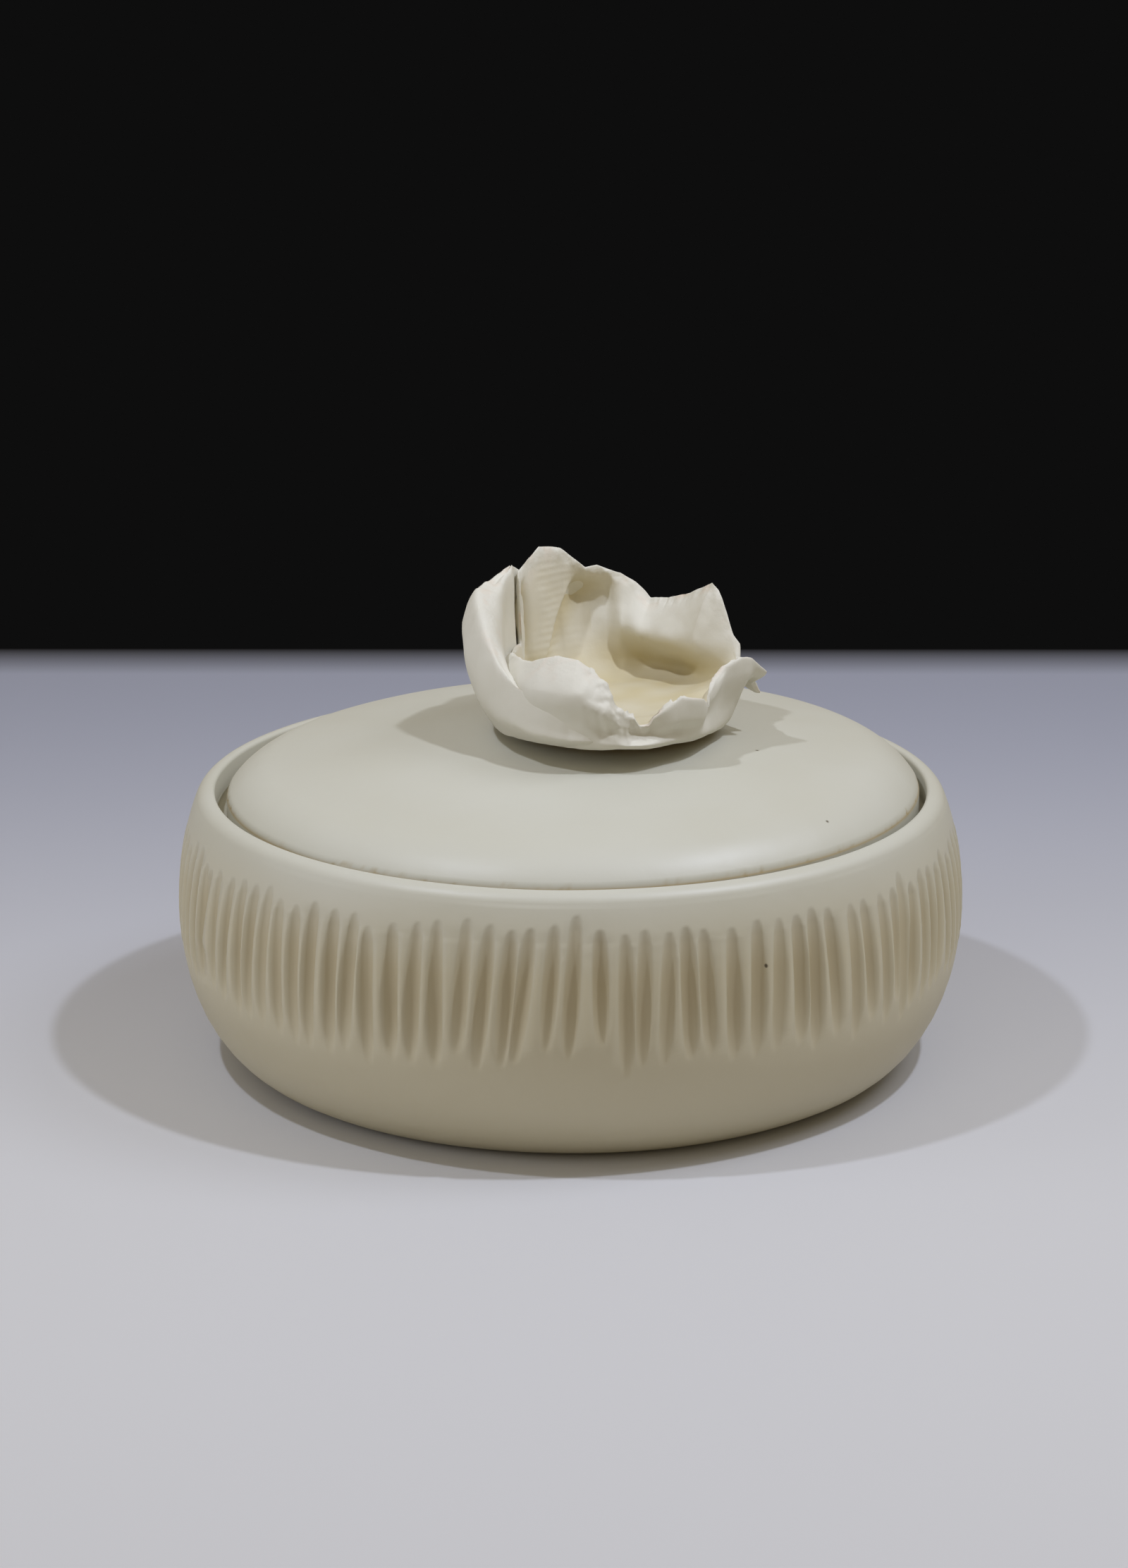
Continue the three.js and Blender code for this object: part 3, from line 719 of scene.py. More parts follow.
ridge = belted & ((steps == 0) | (steps == COLUMNS - 1))
ridge &= (heights < TOP - RIDGE_BELOW_TOP) & (heights > BOTTOM + RIDGE_ABOVE_BOTTOM)
for i, vert in enumerate(bowl_mesh.verts):
    point = point_at(angles[i], radii[i], heights[i])
    radius = radii[i] - cuts[i]
    radius -= inward[i] * (SKIN + dents(point, OUT_OF_ROUND))
    if ridge[i]:
        radius += RIDGE_LIFT + max(0, bumps(point, CRUMBS))
    sunk = dents(point, LIP_WAVE) if heights[i] > lip_start else 0
    vert.co = point_at(angles[i], radius, heights[i] - sunk)

# The flutes get the clay colour by their depth: partly bare clay in the cuts, partly painted shade in the
# grooves
bowl = finished(bowl_mesh, "glazed_bowl", glazed, bare=SHADE_AND_BARE_IN_CUTS * cuts / DEPTH)
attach(bowl, "bowl")
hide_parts("bowl")
print(f"{int((cuts > 0.01).sum())} points moved in by the carving, {cuts.max():.2f} mm at most")

# %% [markdown]
# ## Lid
#
# The lid is a shallow dome with a well rounded shoulder, turned hollow underneath, and it stands on the ledge
# of the gallery with a hair of air below. It was thrown by hand, so its top leans a little: the right side is
# higher than the left. It lies pushed to the right, as the wider gap on the left shows. Its rim is sharp, so
# the glaze is worn there and small chips show the clay. Here its profile is drawn and turned.

# %% Lid
LID_RADIUS = 61.4
LID_BOTTOM = 44.3
LID_EDGE_TOP = 48.4
EDGE_SLOPE = 56
SHOULDER_ROUND = 13.5
DOME_SLOPE = 11.7
LID_THICKNESS = 4.5
HOLLOW_RADIUS = 56.8
LOWER_EDGE = 0.4
LID_COLUMNS = 600
WORN_ROWS = (46, 46.8, 47.3, 47.7, 48)


def uphill(slope):
    return np.array([math.sin(math.radians(slope)), math.cos(math.radians(slope))])


shoulder = np.array([LID_RADIUS, LID_EDGE_TOP]) - SHOULDER_ROUND * uphill(EDGE_SLOPE)
dome_edge = shoulder + SHOULDER_ROUND * uphill(DOME_SLOPE)
DOME_RADIUS = float(dome_edge[0] / uphill(DOME_SLOPE)[0])
LID_TOP = float(dome_edge[1] + DOME_RADIUS * (1 - uphill(DOME_SLOPE)[1]))
dome = (0, LID_TOP - DOME_RADIUS)
roof = DOME_RADIUS - LID_THICKNESS
roof_edge = math.degrees(math.acos((HOLLOW_RADIUS - LID_THICKNESS / 2) / roof))
profile = [
    *arc(dome, roof, roof, 90, roof_edge, 8),
    (HOLLOW_RADIUS - 0.6, 45.6),
    (HOLLOW_RADIUS, LID_BOTTOM + 0.2),
    (HOLLOW_RADIUS + 0.3, LID_BOTTOM),
    *arc((LID_RADIUS - LOWER_EDGE, LID_BOTTOM + LOWER_EDGE), LOWER_EDGE, LOWER_EDGE, -90, 0, 3),
    *[(LID_RADIUS, height) for height in WORN_ROWS],
    (LID_RADIUS - 0.06, 48.2),
    (LID_RADIUS - 0.22, 48.42),
    *arc(shoulder, SHOULDER_ROUND, SHOULDER_ROUND, 89 - EDGE_SLOPE, 90 - DOME_SLOPE, 14)[1:],
    *arc(dome, DOME_RADIUS, DOME_RADIUS, 90 - DOME_SLOPE, 90, 24)[1:],
]
lid_mesh = turned(profile, LID_COLUMNS, wedges=15)
print(f"lid {LID_BOTTOM} to {LID_TOP:.1f} mm above the table")

# %% [markdown]
# ## Lid: its lean, its wear and its chips
#
# Each point above the lower edge is moved a little: in and down by smooth noise, in at the chips, and up or
# down by the lean, which is halved at the rim and gone at the lower edge, so that the lid sits level. The
# same loop notes how bare the clay is: at the chips and along the worn line on the edge. Under the knob,
# which stands a little to the right of the middle, the same clay colour is painted in as shade.

# %% Uneven lid
KNOB_SIDEWAYS = 7
LID_LEAN = 0.022
LEAN_FULL_RADIUS = 40
LEVEL_START = 53
LEVEL_WIDTH = 8
LEVEL_MOST = 0.5
LEVEL_HEIGHT = 3
PUSHED = 0.4
CHIP_BAND = 1.5
CHIP_HEIGHT = 0.9
CHIP_DEPTH = 0.5
CHIP_SIZE = 1.1
CHIP_RARE = 0.2
CHIPPED_SIZE = 9
CHIPPED_MORE = 0.4
CHIP_BARE = 3
LID_WAVE = [(0.04, 20, 5)]
DOME_WAVE = [(0.06, 22, 6)]
WORN_BAND = 0.5
WORN_BELOW = 0.2
WORN_HEIGHT = 0.35
WORN_BARE = 0.9
SHADE_UNDER_KNOB_RADIUS = 19
SHADE_UNDER_KNOB_FADE = 3
LOWEST_MOVED = LID_BOTTOM + 0.5

bare = []
for vert in lid_mesh.verts:
    x, y, z = vert.co
    radius = math.hypot(x, y)
    chip = 0
    if z > LID_EDGE_TOP - CHIP_BAND and radius > LID_RADIUS - CHIP_BAND:
        near = max(0, 1 - abs(z - LID_EDGE_TOP) / CHIP_HEIGHT)
        chip = near * max(0, wander((x, y, z), CHIP_SIZE, 3) - CHIP_RARE)
        chip *= max(0, wander((x, y, z), CHIPPED_SIZE, 4) + CHIPPED_MORE)
    if z > LOWEST_MOVED and radius > 1:
        inward = CHIP_DEPTH * chip + dents((x, y, z), LID_WAVE)
        vert.co.x *= 1 - inward / radius
        vert.co.y *= 1 - inward / radius
        vert.co.z -= dents((x, y, z), DOME_WAVE)
        level = LEVEL_MOST * held((radius - LEVEL_START) / LEVEL_WIDTH)
        lean = LID_LEAN * x * min(1, radius / LEAN_FULL_RADIUS)
        vert.co.z += lean * min(1 - level, (z - LOWEST_MOVED) / LEVEL_HEIGHT)
    vert.co.x += PUSHED
    at_edge = radius > LID_RADIUS - WORN_BAND
    worn = max(0, 1 - abs(z - LID_EDGE_TOP + WORN_BELOW) / WORN_HEIGHT) if at_edge else 0
    # Painted shade under the knob: the lid is mixed towards the clay colour there
    shade_under_knob = held((SHADE_UNDER_KNOB_RADIUS - math.hypot(x - KNOB_SIDEWAYS, y)) / SHADE_UNDER_KNOB_FADE)
    bare.append(CHIP_BARE * chip + WORN_BARE * worn + shade_under_knob)
lid = finished(lid_mesh, "glazed_lid", glazed, bare=bare)
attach(lid, "lid")
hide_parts("lid")

# %% [markdown]
# ## Knob: how the clay was torn
#
# The knob is a sheet of soft clay pinched into an open cup, with torn petals, a low notch in front and a lip
# rolled outwards on the right. A second, thicker fold wraps round its left side. Both are described by what
# an eye can follow on them: the torn rim and the sections of the wall at a few angles, anticlockwise from the
# right. Distances are from the knob's axis and heights from the top of the lid, all before the clay is drawn
# out. The places along the rim were seen in the photograph, and how far back each lies is guessed. They were
# worked out outside this script, from points read off the photograph, and some were moved afterwards.

# %% Knob tables
PAD_RADIUS = 10
PAD_HEIGHT = 0.8
SEAT_GAP = 0.3
CUP_SEAT = 2 * SEAT_GAP + PAD_HEIGHT
CUP_FLOOR = CUP_SEAT + 2.6

# Torn rim: angle, distance, height
RIM = [
    [0, 24.4, 7.4], [5, 23, 9], [9.5, 22.8, 11], [12, 22.9, 13.2], [14, 21.9, 14.6], [18, 21.2, 17.6],
    [21, 20.6, 20.2], [24, 20.4, 21.4], [27, 19.7, 22.5], [43, 19, 20], [57, 19.1, 18.4],
    [68, 19.4, 18.2], [76, 19.7, 20.5], [84, 19.2, 22.2], [97, 18.4, 23.8], [104, 18, 23.6],
    [111, 18.2, 25.3], [118, 18.5, 26.9],
    [132, 18.6, 27.75], [143, 18.3, 25.4], [152, 18, 24], [155, 17.2, 12.5], [180, 17, 12.4],
    [190, 17.2, 13], [204, 17.7, 13.7], [213, 18.1, 13.6], [224, 18.6, 14], [233, 18.8, 15],
    [241, 18.5, 15.7], [252, 18.5, 15.2], [262, 18.6, 13.2], [266, 18.9, 12.2], [269, 19.1, 10.6],
    [272, 19.4, 8.2], [276, 19.6, 7.2], [281, 19.8, 6.6], [284, 20, 5], [288, 20.2, 5.2],
    [290, 20.3, 6.5], [297, 20.8, 8.2], [303, 21.2, 9.4], [308, 21.8, 9.1], [314, 22.3, 8.8],
    [319, 22, 7.2], [323, 20.9, 9.2], [328, 20.5, 10.8], [335, 21.3, 12.8], [342, 23.3, 13.7],
    [346, 24.8, 13.4], [350, 27.4, 10.8], [353, 25.2, 8.6], [356, 26.3, 6.6],
]

# Wall: angle, radius of the heel, inside of the wall half way up, inside near the rim, thickness
WALLS = [
    [0, 20.8, 20, 5.6, 22.4, 8.8, 2.2],
    [8, 20.6, 18.6, 6.6, 21, 9.6, 2.2],
    [27, 20, 17.6, 6.4, 16.2, 13.2, 2.2],
    [48, 19.8, 18.2, 6.4, 14.8, 12.6, 2.2],
    [68, 19.6, 17.6, 6.4, 15.6, 12.6, 2.2],
    [82, 19.4, 16.6, 7.6, 17.6, 15, 2],
    [92, 19.4, 16.8, 8.6, 19.6, 17.8, 2],
    [104, 19.4, 17.2, 8.8, 19.9, 17.6, 2],
    [118, 19.2, 16.6, 8.6, 17.6, 17.2, 2],
    [132, 19, 15.2, 8.8, 16.9, 17.6, 2.2],
    [150, 18.4, 15.6, 6.6, 16.4, 9.6, 2],
    [176, 18.6, 15.8, 6.6, 16.8, 9.6, 2],
    [194, 19.2, 17, 6.8, 18, 11, 2.1],
    [212, 19.6, 18, 6.2, 19.2, 10.6, 2.4],
    [233, 20, 18.8, 6, 20, 10.6, 2.6],
    [255, 20.4, 18.8, 5.6, 20, 10.4, 2.6],
    [268, 21, 18, 5, 19.4, 7.8, 2.6],
    [284, 21, 15.8, 4.2, 18.4, 4.6, 2.4],
    [300, 20.6, 17.6, 4.5, 19.8, 6.6, 2.6],
    [316, 20.4, 18.8, 4.8, 20.8, 6.6, 2.4],
    [324, 20.4, 18, 5.6, 19.8, 8.4, 2.2],
    [334, 20.6, 18.6, 6.4, 20.4, 11.2, 2],
    [349, 21, 20.6, 6.4, 23.6, 10.8, 2.2],
]

# Fold: angle, inner crest, outer crest, bulge and hem, each as distance and height
FOLDS = [
    [142, 19, 16.6, 20.8, 16, 21.6, 10, 19.6, 3],
    [148, 18.4, 25, 20, 24.6, 22.2, 15, 20.4, 1.4],
    [154, 18.4, 26.1, 20.2, 25.9, 22.8, 16, 20.6, 1],
    [166, 19.2, 24.4, 22, 24.3, 24.6, 17, 20.7, 0.7],
    [178, 19.2, 21.8, 24, 23.9, 26.1, 17.4, 20.8, 0.6],
    [190, 19.3, 17.2, 23.8, 20.8, 25.7, 13.6, 20.9, 0.6],
    [196, 19.5, 15.4, 23.5, 18.6, 25.2, 11.8, 20.9, 0.6],
    [204, 20.2, 14, 23.2, 15.6, 24.6, 9.6, 21, 0.7],
    [212, 20.9, 12.2, 22.9, 12.8, 23.8, 7.8, 21, 0.7],
    [222, 21.6, 10.6, 22.4, 10.4, 23, 6.2, 20.8, 0.8],
    [234, 21.4, 8.8, 21.8, 8.4, 22.2, 4.6, 20.5, 0.9],
    [250, 20.7, 6.6, 20.9, 6.2, 21.1, 3.6, 20, 1],
]
print(f"rim of {len(RIM)} points, highest {max(row[2] for row in RIM)} mm above the lid")

# %% [markdown]
# ## Knob: from a few points to a smooth sheet
#
# Three helpers turn the tables into places. Between two rows the numbers are blended. Through the few points
# of a section runs a smooth curve, a spline as in a curve object, so the sheet has no corners. And the whole
# knob is drawn out: lengths from front to back are stretched, more so in front, and what is drawn forwards
# also rises. The middle of the knob, between the two radii, stays flat on its pad.

# %% Knob helpers
DRAW_STRETCH = 0.3
DRAW_FORWARD = 0.003
DRAW_RISE = 0.285
DRAW_FLAT_RADIUS = 8
DRAW_FULL_RADIUS = 16


def between_rows(rows, angle, soft):
    """The numbers of a table at any angle, blended between the rows on either side of it."""
    table = np.array(rows, float)
    table = np.vstack([table, table[0] + np.array([360] + [0] * (table.shape[1] - 1))])
    angle = angle % 360
    after = int(np.searchsorted(table[:, 0], angle, side="right"))
    share = (angle - table[after - 1, 0]) / (table[after, 0] - table[after - 1, 0])
    if soft:
        share = share * share * (3 - 2 * share)
    return (table[after - 1] + (table[after] - table[after - 1]) * share)[1:]


def curve_through(points, along):
    """Places along a smooth curve through the given points, each told by its share of the way: 2.5 is
    half way from the third point to the fourth."""
    points = np.array(points, float)
    last = len(points) - 1
    first = np.minimum(along.astype(int), last - 1)
    t = (along - first)[:, None]
    p0, p1 = points[np.maximum(first - 1, 0)], points[first]
    p2, p3 = points[first + 1], points[np.minimum(first + 2, last)]
    v1, v2 = (p2 - p0) / 2, (p3 - p1) / 2
    return (2 * p1 - 2 * p2 + v1 + v2) * t**3 + (3 * p2 - 3 * p1 - 2 * v1 - v2) * t**2 + v1 * t + p1


def beside(point, start, end, distance):
    """A point at a distance from another, to the right of somebody who walks from start to end."""
    way = (end - start) / np.linalg.norm(end - start)
    return point + distance * np.array([way[1], -way[0]])


def drawn_out(point):
    """The place of a point once the clay is drawn out."""
    x, y, z = point
    share = held((math.hypot(x, y) - DRAW_FLAT_RADIUS) / (DRAW_FULL_RADIUS - DRAW_FLAT_RADIUS))
    back = DRAW_STRETCH * y - DRAW_FORWARD * y**2
    return (x, y + back, z - DRAW_RISE * back * share * share * (3 - 2 * share))


moved = drawn_out((0, -20, 0))
print(f"a point 20 mm in front of the middle is drawn {-moved[1] - 20:.1f} mm forwards, {moved[2]:.1f} mm up")

# %% [markdown]
# ## Knob: what fingers pressed into the cup
#
# The inside of the cup keeps the presses of a thumb: round hollows, and the swellings between them. They are
# soft bumps, each with its own place, width and depth. Down the tall petal, from its top on the right to its
# foot on the left, runs a crease, where the sheet was folded: a step that starts sharply and fades softly.

# %% Presses and crease
# Presses: angle and height, how wide in degrees and how tall, depth outwards
PRESSES = [
    (80, 14, 13, 3, -1.4), (52, 13, 16, 2.5, -0.5), (60, 7, 36, 3.4, 1), (18, 8.5, 13, 3, 0.9),
    (104, 19, 9, 3, 0.6), (150.5, 18, 4, 10, 2.4),
]

# Crease: angle and height of its top and height of its foot, its turn in degrees for each millimetre down,
# its depth, and how many degrees its step and its fading take
CREASE_TOP = (108, 24)
CREASE_FOOT = 5
CREASE_TURN = 2
CREASE_DEPTH = 1.5
CREASE_STEP = 3
CREASE_WIDTH = 17


def pressed(turn, up):
    """How far the inside of the cup is pushed outwards at an angle and a height."""
    push = 0
    for angle, height, wide, tall, depth in PRESSES:
        aside = ((turn - angle + 180) % 360 - 180) / wide
        push += depth * math.exp(-(aside**2) - ((up - height) / tall) ** 2)
    beyond = CREASE_TOP[0] + CREASE_TURN * (CREASE_TOP[1] - up) - turn
    if beyond > 0:
        fade = held((up - CREASE_FOOT) / 4) * held((CREASE_TOP[1] - 1 - up) / 3)
        step = min(1, beyond / CREASE_STEP) * math.exp(-((beyond / CREASE_WIDTH) ** 2))
        push += CREASE_DEPTH * fade * step
    return push


print(f"the deepest press is {max(press[4] for press in PRESSES)} mm")

# %% [markdown]
# ## Knob: a section of the cup
#
# At every angle the sheet's section is one closed outline: from the middle of the underside out to the heel,
# up the outside, over the torn rim, down the inside and back to the middle of the floor. Each point has a
# number, its stop, and the rows of the mesh lie closest between the stops next to the rim.

# %% Section of the cup
NOTCH = (258, 322)
CUP_COLUMNS = 600
CUP_ROWS = 150
ROW_STOPS = [0, 30, 62, 134, 150]
STOPS = [0, 5, 7.06, 9.2, 12]
RIM_STOP = 7

CUP_UNDERSIDE = 0.4
CUP_HEEL_ROUND = 2.5
CUP_HEEL_HEIGHT = 1.4
CUP_WAIST = 0.8
CUP_FLOOR_RADIUS = 8
CUP_TURN_RADIUS = 13
CUP_TURN_RISE = 0.5
NECK_SHARE = 0.85
TORN_EDGE = 0.8


def cup_section(angle):
    rim_away, rim_up = between_rows(RIM, angle, soft=False)
    heel, wall_away, wall_up, neck_away, neck_up, sheet = between_rows(WALLS, angle, soft=True)
    wall = np.array([wall_away, wall_up])
    neck = np.array([neck_away, neck_up])
    torn = np.array([rim_away, rim_up])
    outer_neck = beside(neck, wall, torn, sheet * NECK_SHARE)
    outer_neck = np.maximum(outer_neck, [(heel + neck_away) / 2, (CUP_HEEL_HEIGHT + rim_up) / 2])
    waist_depth = CUP_WAIST * held((rim_up - 4) / 6)
    waist = max(wall_away + sheet, (heel + outer_neck[0]) / 2 - waist_depth)
    points = [
        (0, CUP_SEAT),
        (PAD_RADIUS, CUP_SEAT),
        (heel - CUP_HEEL_ROUND, CUP_UNDERSIDE),
        (heel, CUP_HEEL_HEIGHT),
        (waist, (CUP_HEEL_HEIGHT + outer_neck[1]) / 2),
        outer_neck,
        beside(torn, neck, torn, TORN_EDGE),
        torn,
        neck,
        wall,
        (CUP_TURN_RADIUS, CUP_FLOOR + CUP_TURN_RISE),
        (CUP_FLOOR_RADIUS, CUP_FLOOR),
        (0, CUP_FLOOR),
    ]
    return curve_through(points, cup_along)


cup_along = np.interp(np.arange(CUP_ROWS + 1), ROW_STOPS, STOPS)
print(f"a section of {CUP_ROWS + 1} points, {cup_section(NOTCH[0])[:, 1].max():.1f} mm high beside the notch")

# %% [markdown]
# ## Knob: the tear
#
# A torn edge wanders: it follows the grain of the clay, with coarse, middling and fine noise on top of each
# other. In the notch the sheet was ripped in steps, so its height also jumps every few degrees, and just to
# the left of the notch it is rougher than elsewhere.

# %% The tear
TEAR_UP = [(0.45, 1.7, 7), (0.28, 0.7, 8), (0.14, 0.35, 17)]
TEAR_IN = [(0.35, 1.3, 9)]
RIP_SWAY = [(2, 2.5, 21)]
ROUGH_START = 232
ROUGH_BESIDE = 1.5
ROUGH_IN_NOTCH = 1.8
RIP_DEGREES = 4.3
RIP_STEP = 0.45


def torn_edge(angle, away):
    """How far the tear moves the rim in and up at an angle."""
    here = point_at(math.radians(angle), away)
    up = bumps(here, TEAR_UP)
    if ROUGH_START < angle < NOTCH[0]:
        up *= ROUGH_BESIDE
    if NOTCH[0] < angle < NOTCH[1]:
        steps = math.floor(angle / RIP_DEGREES + bumps(here, RIP_SWAY)) % 3 - 1
        up = ROUGH_IN_NOTCH * up + RIP_STEP * steps
    return np.array([bumps(here, TEAR_IN), up])


print("the tear at the middle of the notch:", torn_edge(sum(NOTCH) / 2, 20).round(2), "mm")

# %% [markdown]
# ## Knob: the cup
#
# A closed sheet like this could be extruded and sculpted by hand. Here a blank is spun first, a tall tube
# with one row of points for each step along the section, so that the mesh is clean. Then each point is moved
# to its place on the torn cup, as clay is pulled up and thinned, and inside it also gets the presses.

# %% Cup
TEAR_OUTSIDE = 0.3
TEAR_INSIDE = 0.16
INSIDE_FADE = 0.4
PRESS_STOP = 10.6
PRESS_FADE = 1.2

blank = [(0, 0)] + [(1, row) for row in range(1, CUP_ROWS)] + [(0, CUP_ROWS)]
cup_mesh = turned(blank, CUP_COLUMNS, wedges=15)
reach = np.where(cup_along < RIM_STOP, TEAR_OUTSIDE, TEAR_INSIDE)
near_rim = np.exp(-(((cup_along - RIM_STOP) / reach) ** 2))[:, None]
sections = []
for column in range(CUP_COLUMNS):
    section = cup_section(360 * column / CUP_COLUMNS)
    away = between_rows(RIM, 360 * column / CUP_COLUMNS, soft=False)[0]
    sections.append(section + near_rim * torn_edge(360 * column / CUP_COLUMNS, away))
cup_stops, cup_turns, cup_heights, cup_presses = [], [], [], []
for vert in cup_mesh.verts:
    row = round(vert.co.z)
    turn = math.atan2(vert.co.y, vert.co.x) % (2 * math.pi)
    away, up = sections[round(turn / (2 * math.pi) * CUP_COLUMNS) % CUP_COLUMNS][row]
    stop = cup_along[row]
    inner = held((stop - RIM_STOP) / INSIDE_FADE) * held((PRESS_STOP - stop) / PRESS_FADE)
    press = inner * pressed(math.degrees(turn), up)
    away += press
    vert.co = drawn_out(point_at(turn, away, up))
    cup_stops.append(stop)
    cup_turns.append(math.degrees(turn))
    cup_heights.append(up)
    cup_presses.append(press)
bmesh.ops.recalc_face_normals(cup_mesh, faces=cup_mesh.faces)
cup_mesh.normal_update()
print(f"{len(cup_mesh.verts)} points, pressed by up to {max(cup_presses):.1f} mm")

# %% [markdown]
# ## Knob: the skin of the cup
#
# Last, each point moves a little along its normal. Soft noise makes the skin uneven, fine ridges cross the
# inside of the tall petal, and the outside is crumpled below the left end of the notch. The same loop notes
# where the clay is bare, at the tear, and where the cup is painted with shade: low inside, more so at the
# back, in the presses and on the tall petal.

# %% Skin of the cup
CUP_SKIN = [(0.3, 6, 10), (0.06, 1.8, 11)]
CRUMPLES = [(0.45, 1.7, 22), (0.2, 0.8, 23)]
RIDGE_SWAY = [(0.15, 5, 18)]
RIDGE_PATCHES = [(1, 6, 19)]
SHADE_PATCHES = [(0.3, 5, 20)]
WALL_STOP = 9.5
WALL_FADE = 0.5
UNDERSIDE_STOP = 2
PETAL = (104, 153)
PETAL_FADE = 12
PETAL_RIDGES = 1.25
PETAL_RIDGE_HEIGHT = 0.06
CRUMPLE_TURN = 272
CRUMPLE_WIDTH = 13
CRUMPLE_STOP = 3.2
CRUMPLE_FADE = 1.2
RAGGED = (222, 285)
BARE_EDGE = 0.7
BARE_RAGGED = 1.6
SHADE_TOP = 14
SHADE_FADE = 6
SHADE_BACK = 58
SHADED_PETAL = (100, 153)

bare, pooled = [], []
for stop, turn, up, press, vert in zip(cup_stops, cup_turns, cup_heights, cup_presses, cup_mesh.verts):
    point = vert.co.copy()
    inner = held((stop - RIM_STOP) / INSIDE_FADE) * held((WALL_STOP - stop) / WALL_FADE)
    lift = bumps(point, CUP_SKIN)
    if PETAL[0] < turn < PETAL[1]:
        fade = min(1, (turn - PETAL[0]) / PETAL_FADE) * inner
        level = point.z / PETAL_RIDGES + bumps(point, RIDGE_SWAY)
        patch = 0.6 + bumps(point, RIDGE_PATCHES)
        lift += PETAL_RIDGE_HEIGHT * fade * math.sin(2 * math.pi * level) * patch
    if stop < RIM_STOP + 1:
        fade = held((stop - CRUMPLE_STOP) / CRUMPLE_FADE)
        fade *= math.exp(-(((turn - CRUMPLE_TURN) / CRUMPLE_WIDTH) ** 2))
        lift += fade * bumps(point, CRUMPLES)
    if stop > UNDERSIDE_STOP:
        vert.co = point + vert.normal * lift
    bare_reach = BARE_RAGGED if RAGGED[0] < turn < RAGGED[1] else BARE_EDGE
    bare.append(max(0, 1 - abs(stop - RIM_STOP + 0.3) / bare_reach))
    # Painted shade: low inside the cup, more at the back, in the presses and on the tall petal
    low = held((SHADE_TOP - up) / SHADE_FADE) if stop > RIM_STOP + 0.2 else 0
    low *= 0.8 + 0.2 * max(0, math.cos(math.radians(turn - SHADE_BACK)))
    tall_petal = 0.35 * inner if SHADED_PETAL[0] < turn < SHADED_PETAL[1] else 0
    pooled.append(max(low, 0.6 * press, tall_petal) * (0.85 + bumps(point, SHADE_PATCHES)))
bmesh.ops.translate(cup_mesh, verts=cup_mesh.verts, vec=(KNOB_SIDEWAYS, 0, LID_TOP))
cup = finished(cup_mesh, "torn_cup", porcelain, bare=bare, pooled=pooled)
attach(cup, "lid")
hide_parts("knob_cup")

# %% [markdown]
# ## Knob: a section of the fold
#
# The fold is a thick strip with a rounded hem below and a torn crest above, pointed at both ends. At every
# angle its section is a closed loop: from the hem up the outside, over the crest and down behind, where it
# lies tucked into the wall of the cup. A slit stays open between the fold and the end of the tall petal.

# %% Section of the fold
FOLD_RADIUS = 21
FOLD_POINTS = 60
FOLD_FULLNESS = 1
FOLD_HEM = 2
FOLD_HEM_RISE = 0.6
FOLD_CREST_DROP = 1
FOLD_CREST_THICKNESS = 0.6
FOLD_TUCK_SHARE = 0.75

# Slit: where, how wide in degrees, how deep, and how much of it is left at the crest
SLIT_ANGLE = 152
SLIT_WIDTH = 4.5
SLIT_DEPTH = 2.2
SLIT_AT_CREST = 0.5
CREST_TEAR = [(0.3, 1.8, 12), (0.15, 0.8, 13)]


def fold_section(angle):
    inside = min(max(angle, FOLDS[0][0]), FOLDS[-1][0])
    row = between_rows(FOLDS, inside, soft=False)
    inner, outer, bulge, hem = row[0:2], row[2:4], row[4:6], row[6:8]
    here = point_at(math.radians(angle), FOLD_RADIUS)
    ragged = bumps(here, CREST_TEAR)
    slit = SLIT_DEPTH * math.exp(-(((angle - SLIT_ANGLE) / SLIT_WIDTH) ** 2))
    inner, outer = inner + [SLIT_AT_CREST * slit, ragged], outer + [0, ragged]
    wall = between_rows(WALLS, angle, soft=True)
    tuck = wall[1] + FOLD_TUCK_SHARE * wall[5] + slit
    points = [
        hem,
        ((hem[0] + bulge[0]) / 2 + FOLD_FULLNESS, (hem[1] + bulge[1]) / 2),
        bulge,
        outer,
        ((inner[0] + outer[0]) / 2, max(inner[1], outer[1])),
        inner,
        (max(tuck, inner[0] - FOLD_CREST_THICKNESS), (inner[1] + wall[2]) / 2),
        (tuck, min(wall[2], inner[1] - FOLD_CREST_DROP)),
        (hem[0] - FOLD_HEM, hem[1] + FOLD_HEM_RISE),
        hem,
    ]
    return curve_through(points, np.linspace(0, len(points) - 1, FOLD_POINTS + 1))[:-1]


print("crest of the fold at its highest:", fold_section(154)[:, 1].max().round(1), "mm above the lid")

# %% [markdown]
# ## Knob: the fold round its left side
#
# The blank is a ring of tube: a loop spun through part of a turn. Each point is then moved to its place on
# the section at its angle, and at both ends the section closes to a point. The crest is torn, so it is bare.

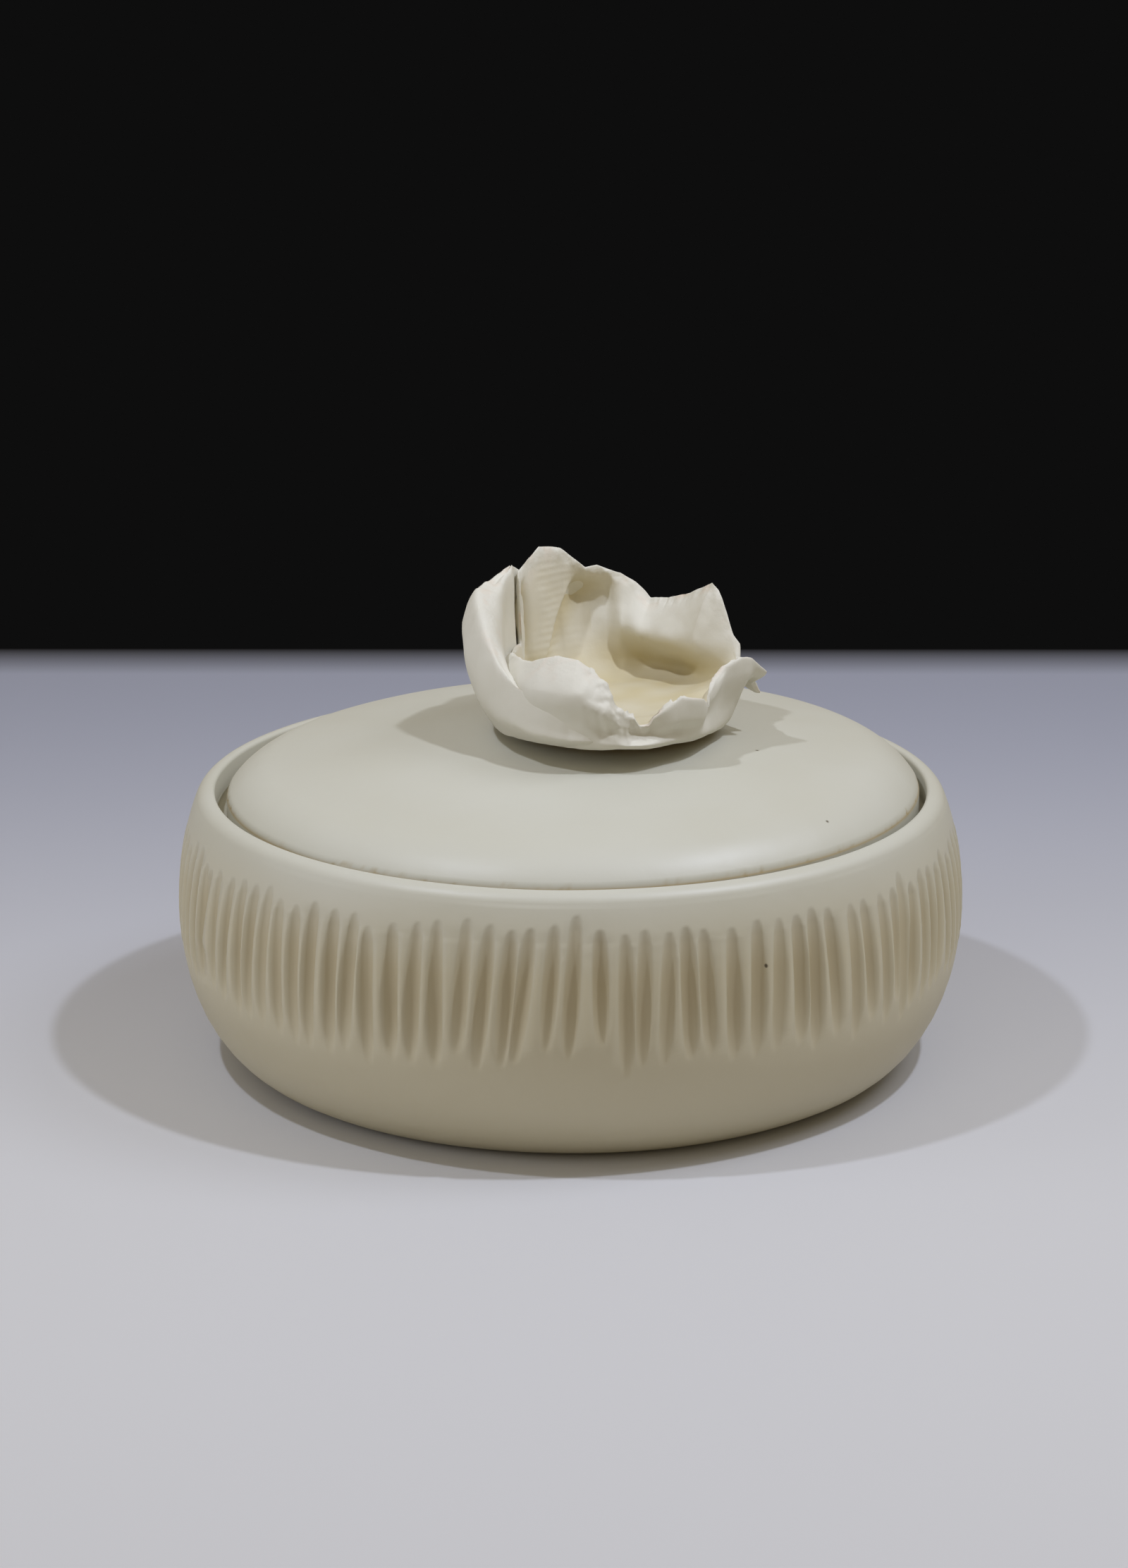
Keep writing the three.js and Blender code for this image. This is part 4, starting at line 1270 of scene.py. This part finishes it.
# %% Fold
FOLD_START = 134
FOLD_END = 262
FOLD_STEPS = 160
BULGE_AT = round(FOLD_POINTS * 2 / 9)
CREST_AT = FOLD_POINTS * 4 / 9
CREST_BARE = 8
FOLD_SKIN = [(0.25, 5, 14), (0.07, 1.6, 15)]
RING = 3
fold_mesh = bmesh.new()
loop = []
for i in range(FOLD_POINTS):
    turn = 2 * math.pi * i / FOLD_POINTS
    loop.append(fold_mesh.verts.new((RING + math.cos(turn), 0, math.sin(turn))))
edges = [fold_mesh.edges.new((loop[i - 1], loop[i])) for i in range(FOLD_POINTS)]
bmesh.ops.spin(
    fold_mesh, geom=loop + edges, axis=(0, 0, 1), cent=(0, 0, 0),
    angle=math.radians(FOLD_END - FOLD_START), steps=FOLD_STEPS,
)
first = FOLDS[0][0] - FOLD_START
last = FOLDS[-1][0] - FOLD_START
bare = []
for vert in fold_mesh.verts:
    turn = math.degrees(math.atan2(vert.co.y, vert.co.x)) % 360
    turn = 0 if turn > 359.9 else turn
    round_tube = math.degrees(math.atan2(vert.co.z, vert.co.xy.length - RING)) / 360
    step = round(round_tube * FOLD_POINTS) % FOLD_POINTS
    section = fold_section(FOLD_START + turn)
    middle = (section[0] + section[BULGE_AT]) / 2
    opened = 1
    if turn < first:
        opened = math.sqrt(max(0, 1 - (1 - turn / first) ** 2))
    if turn > last:
        opened = math.sqrt(max(0, 1 - ((turn - last) / (FOLD_END - FOLD_START - last)) ** 2))
    away, up = middle + (section[step] - middle) * opened
    vert.co = drawn_out(point_at(math.radians(FOLD_START + turn), away, up))
    bare.append(max(0, 1 - abs(step - CREST_AT) / CREST_BARE))
fold_mesh.verts.ensure_lookup_table()
bmesh.ops.recalc_face_normals(fold_mesh, faces=fold_mesh.faces)
fold_mesh.normal_update()
for vert in fold_mesh.verts:
    point = vert.co.copy()
    vert.co = point + vert.normal * bumps(point, FOLD_SKIN)
bmesh.ops.translate(fold_mesh, verts=fold_mesh.verts, vec=(KNOB_SIDEWAYS, 0, LID_TOP))
fold = finished(fold_mesh, "torn_fold", porcelain, bare=bare)
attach(fold, "lid")
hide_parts("knob_wrap")

# %% [markdown]
# ## The pad under the knob
#
# The pad of clay that sticks the knob to the lid is hidden but for the dark gap. Its CAD solid has the right
# shape, so it stays and only gets the finish of the knob.

# %% Pad
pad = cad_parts["knob_foot"]
for holder in pad.material_slots:
    holder.material = porcelain
print("pad:", [round(1000 * side, 1) for side in pad.dimensions], "mm")

# %% [markdown]
#
# Both boxes are printed, the CAD model's and the dressed model's. The dressed model must be no
# bigger than the CAD model.

looks_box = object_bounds()
for name, box in (("CAD", cad_box), ("visual", looks_box)):
    print(name, [[round(1000 * float(value), 2) for value in corner] for corner in box])
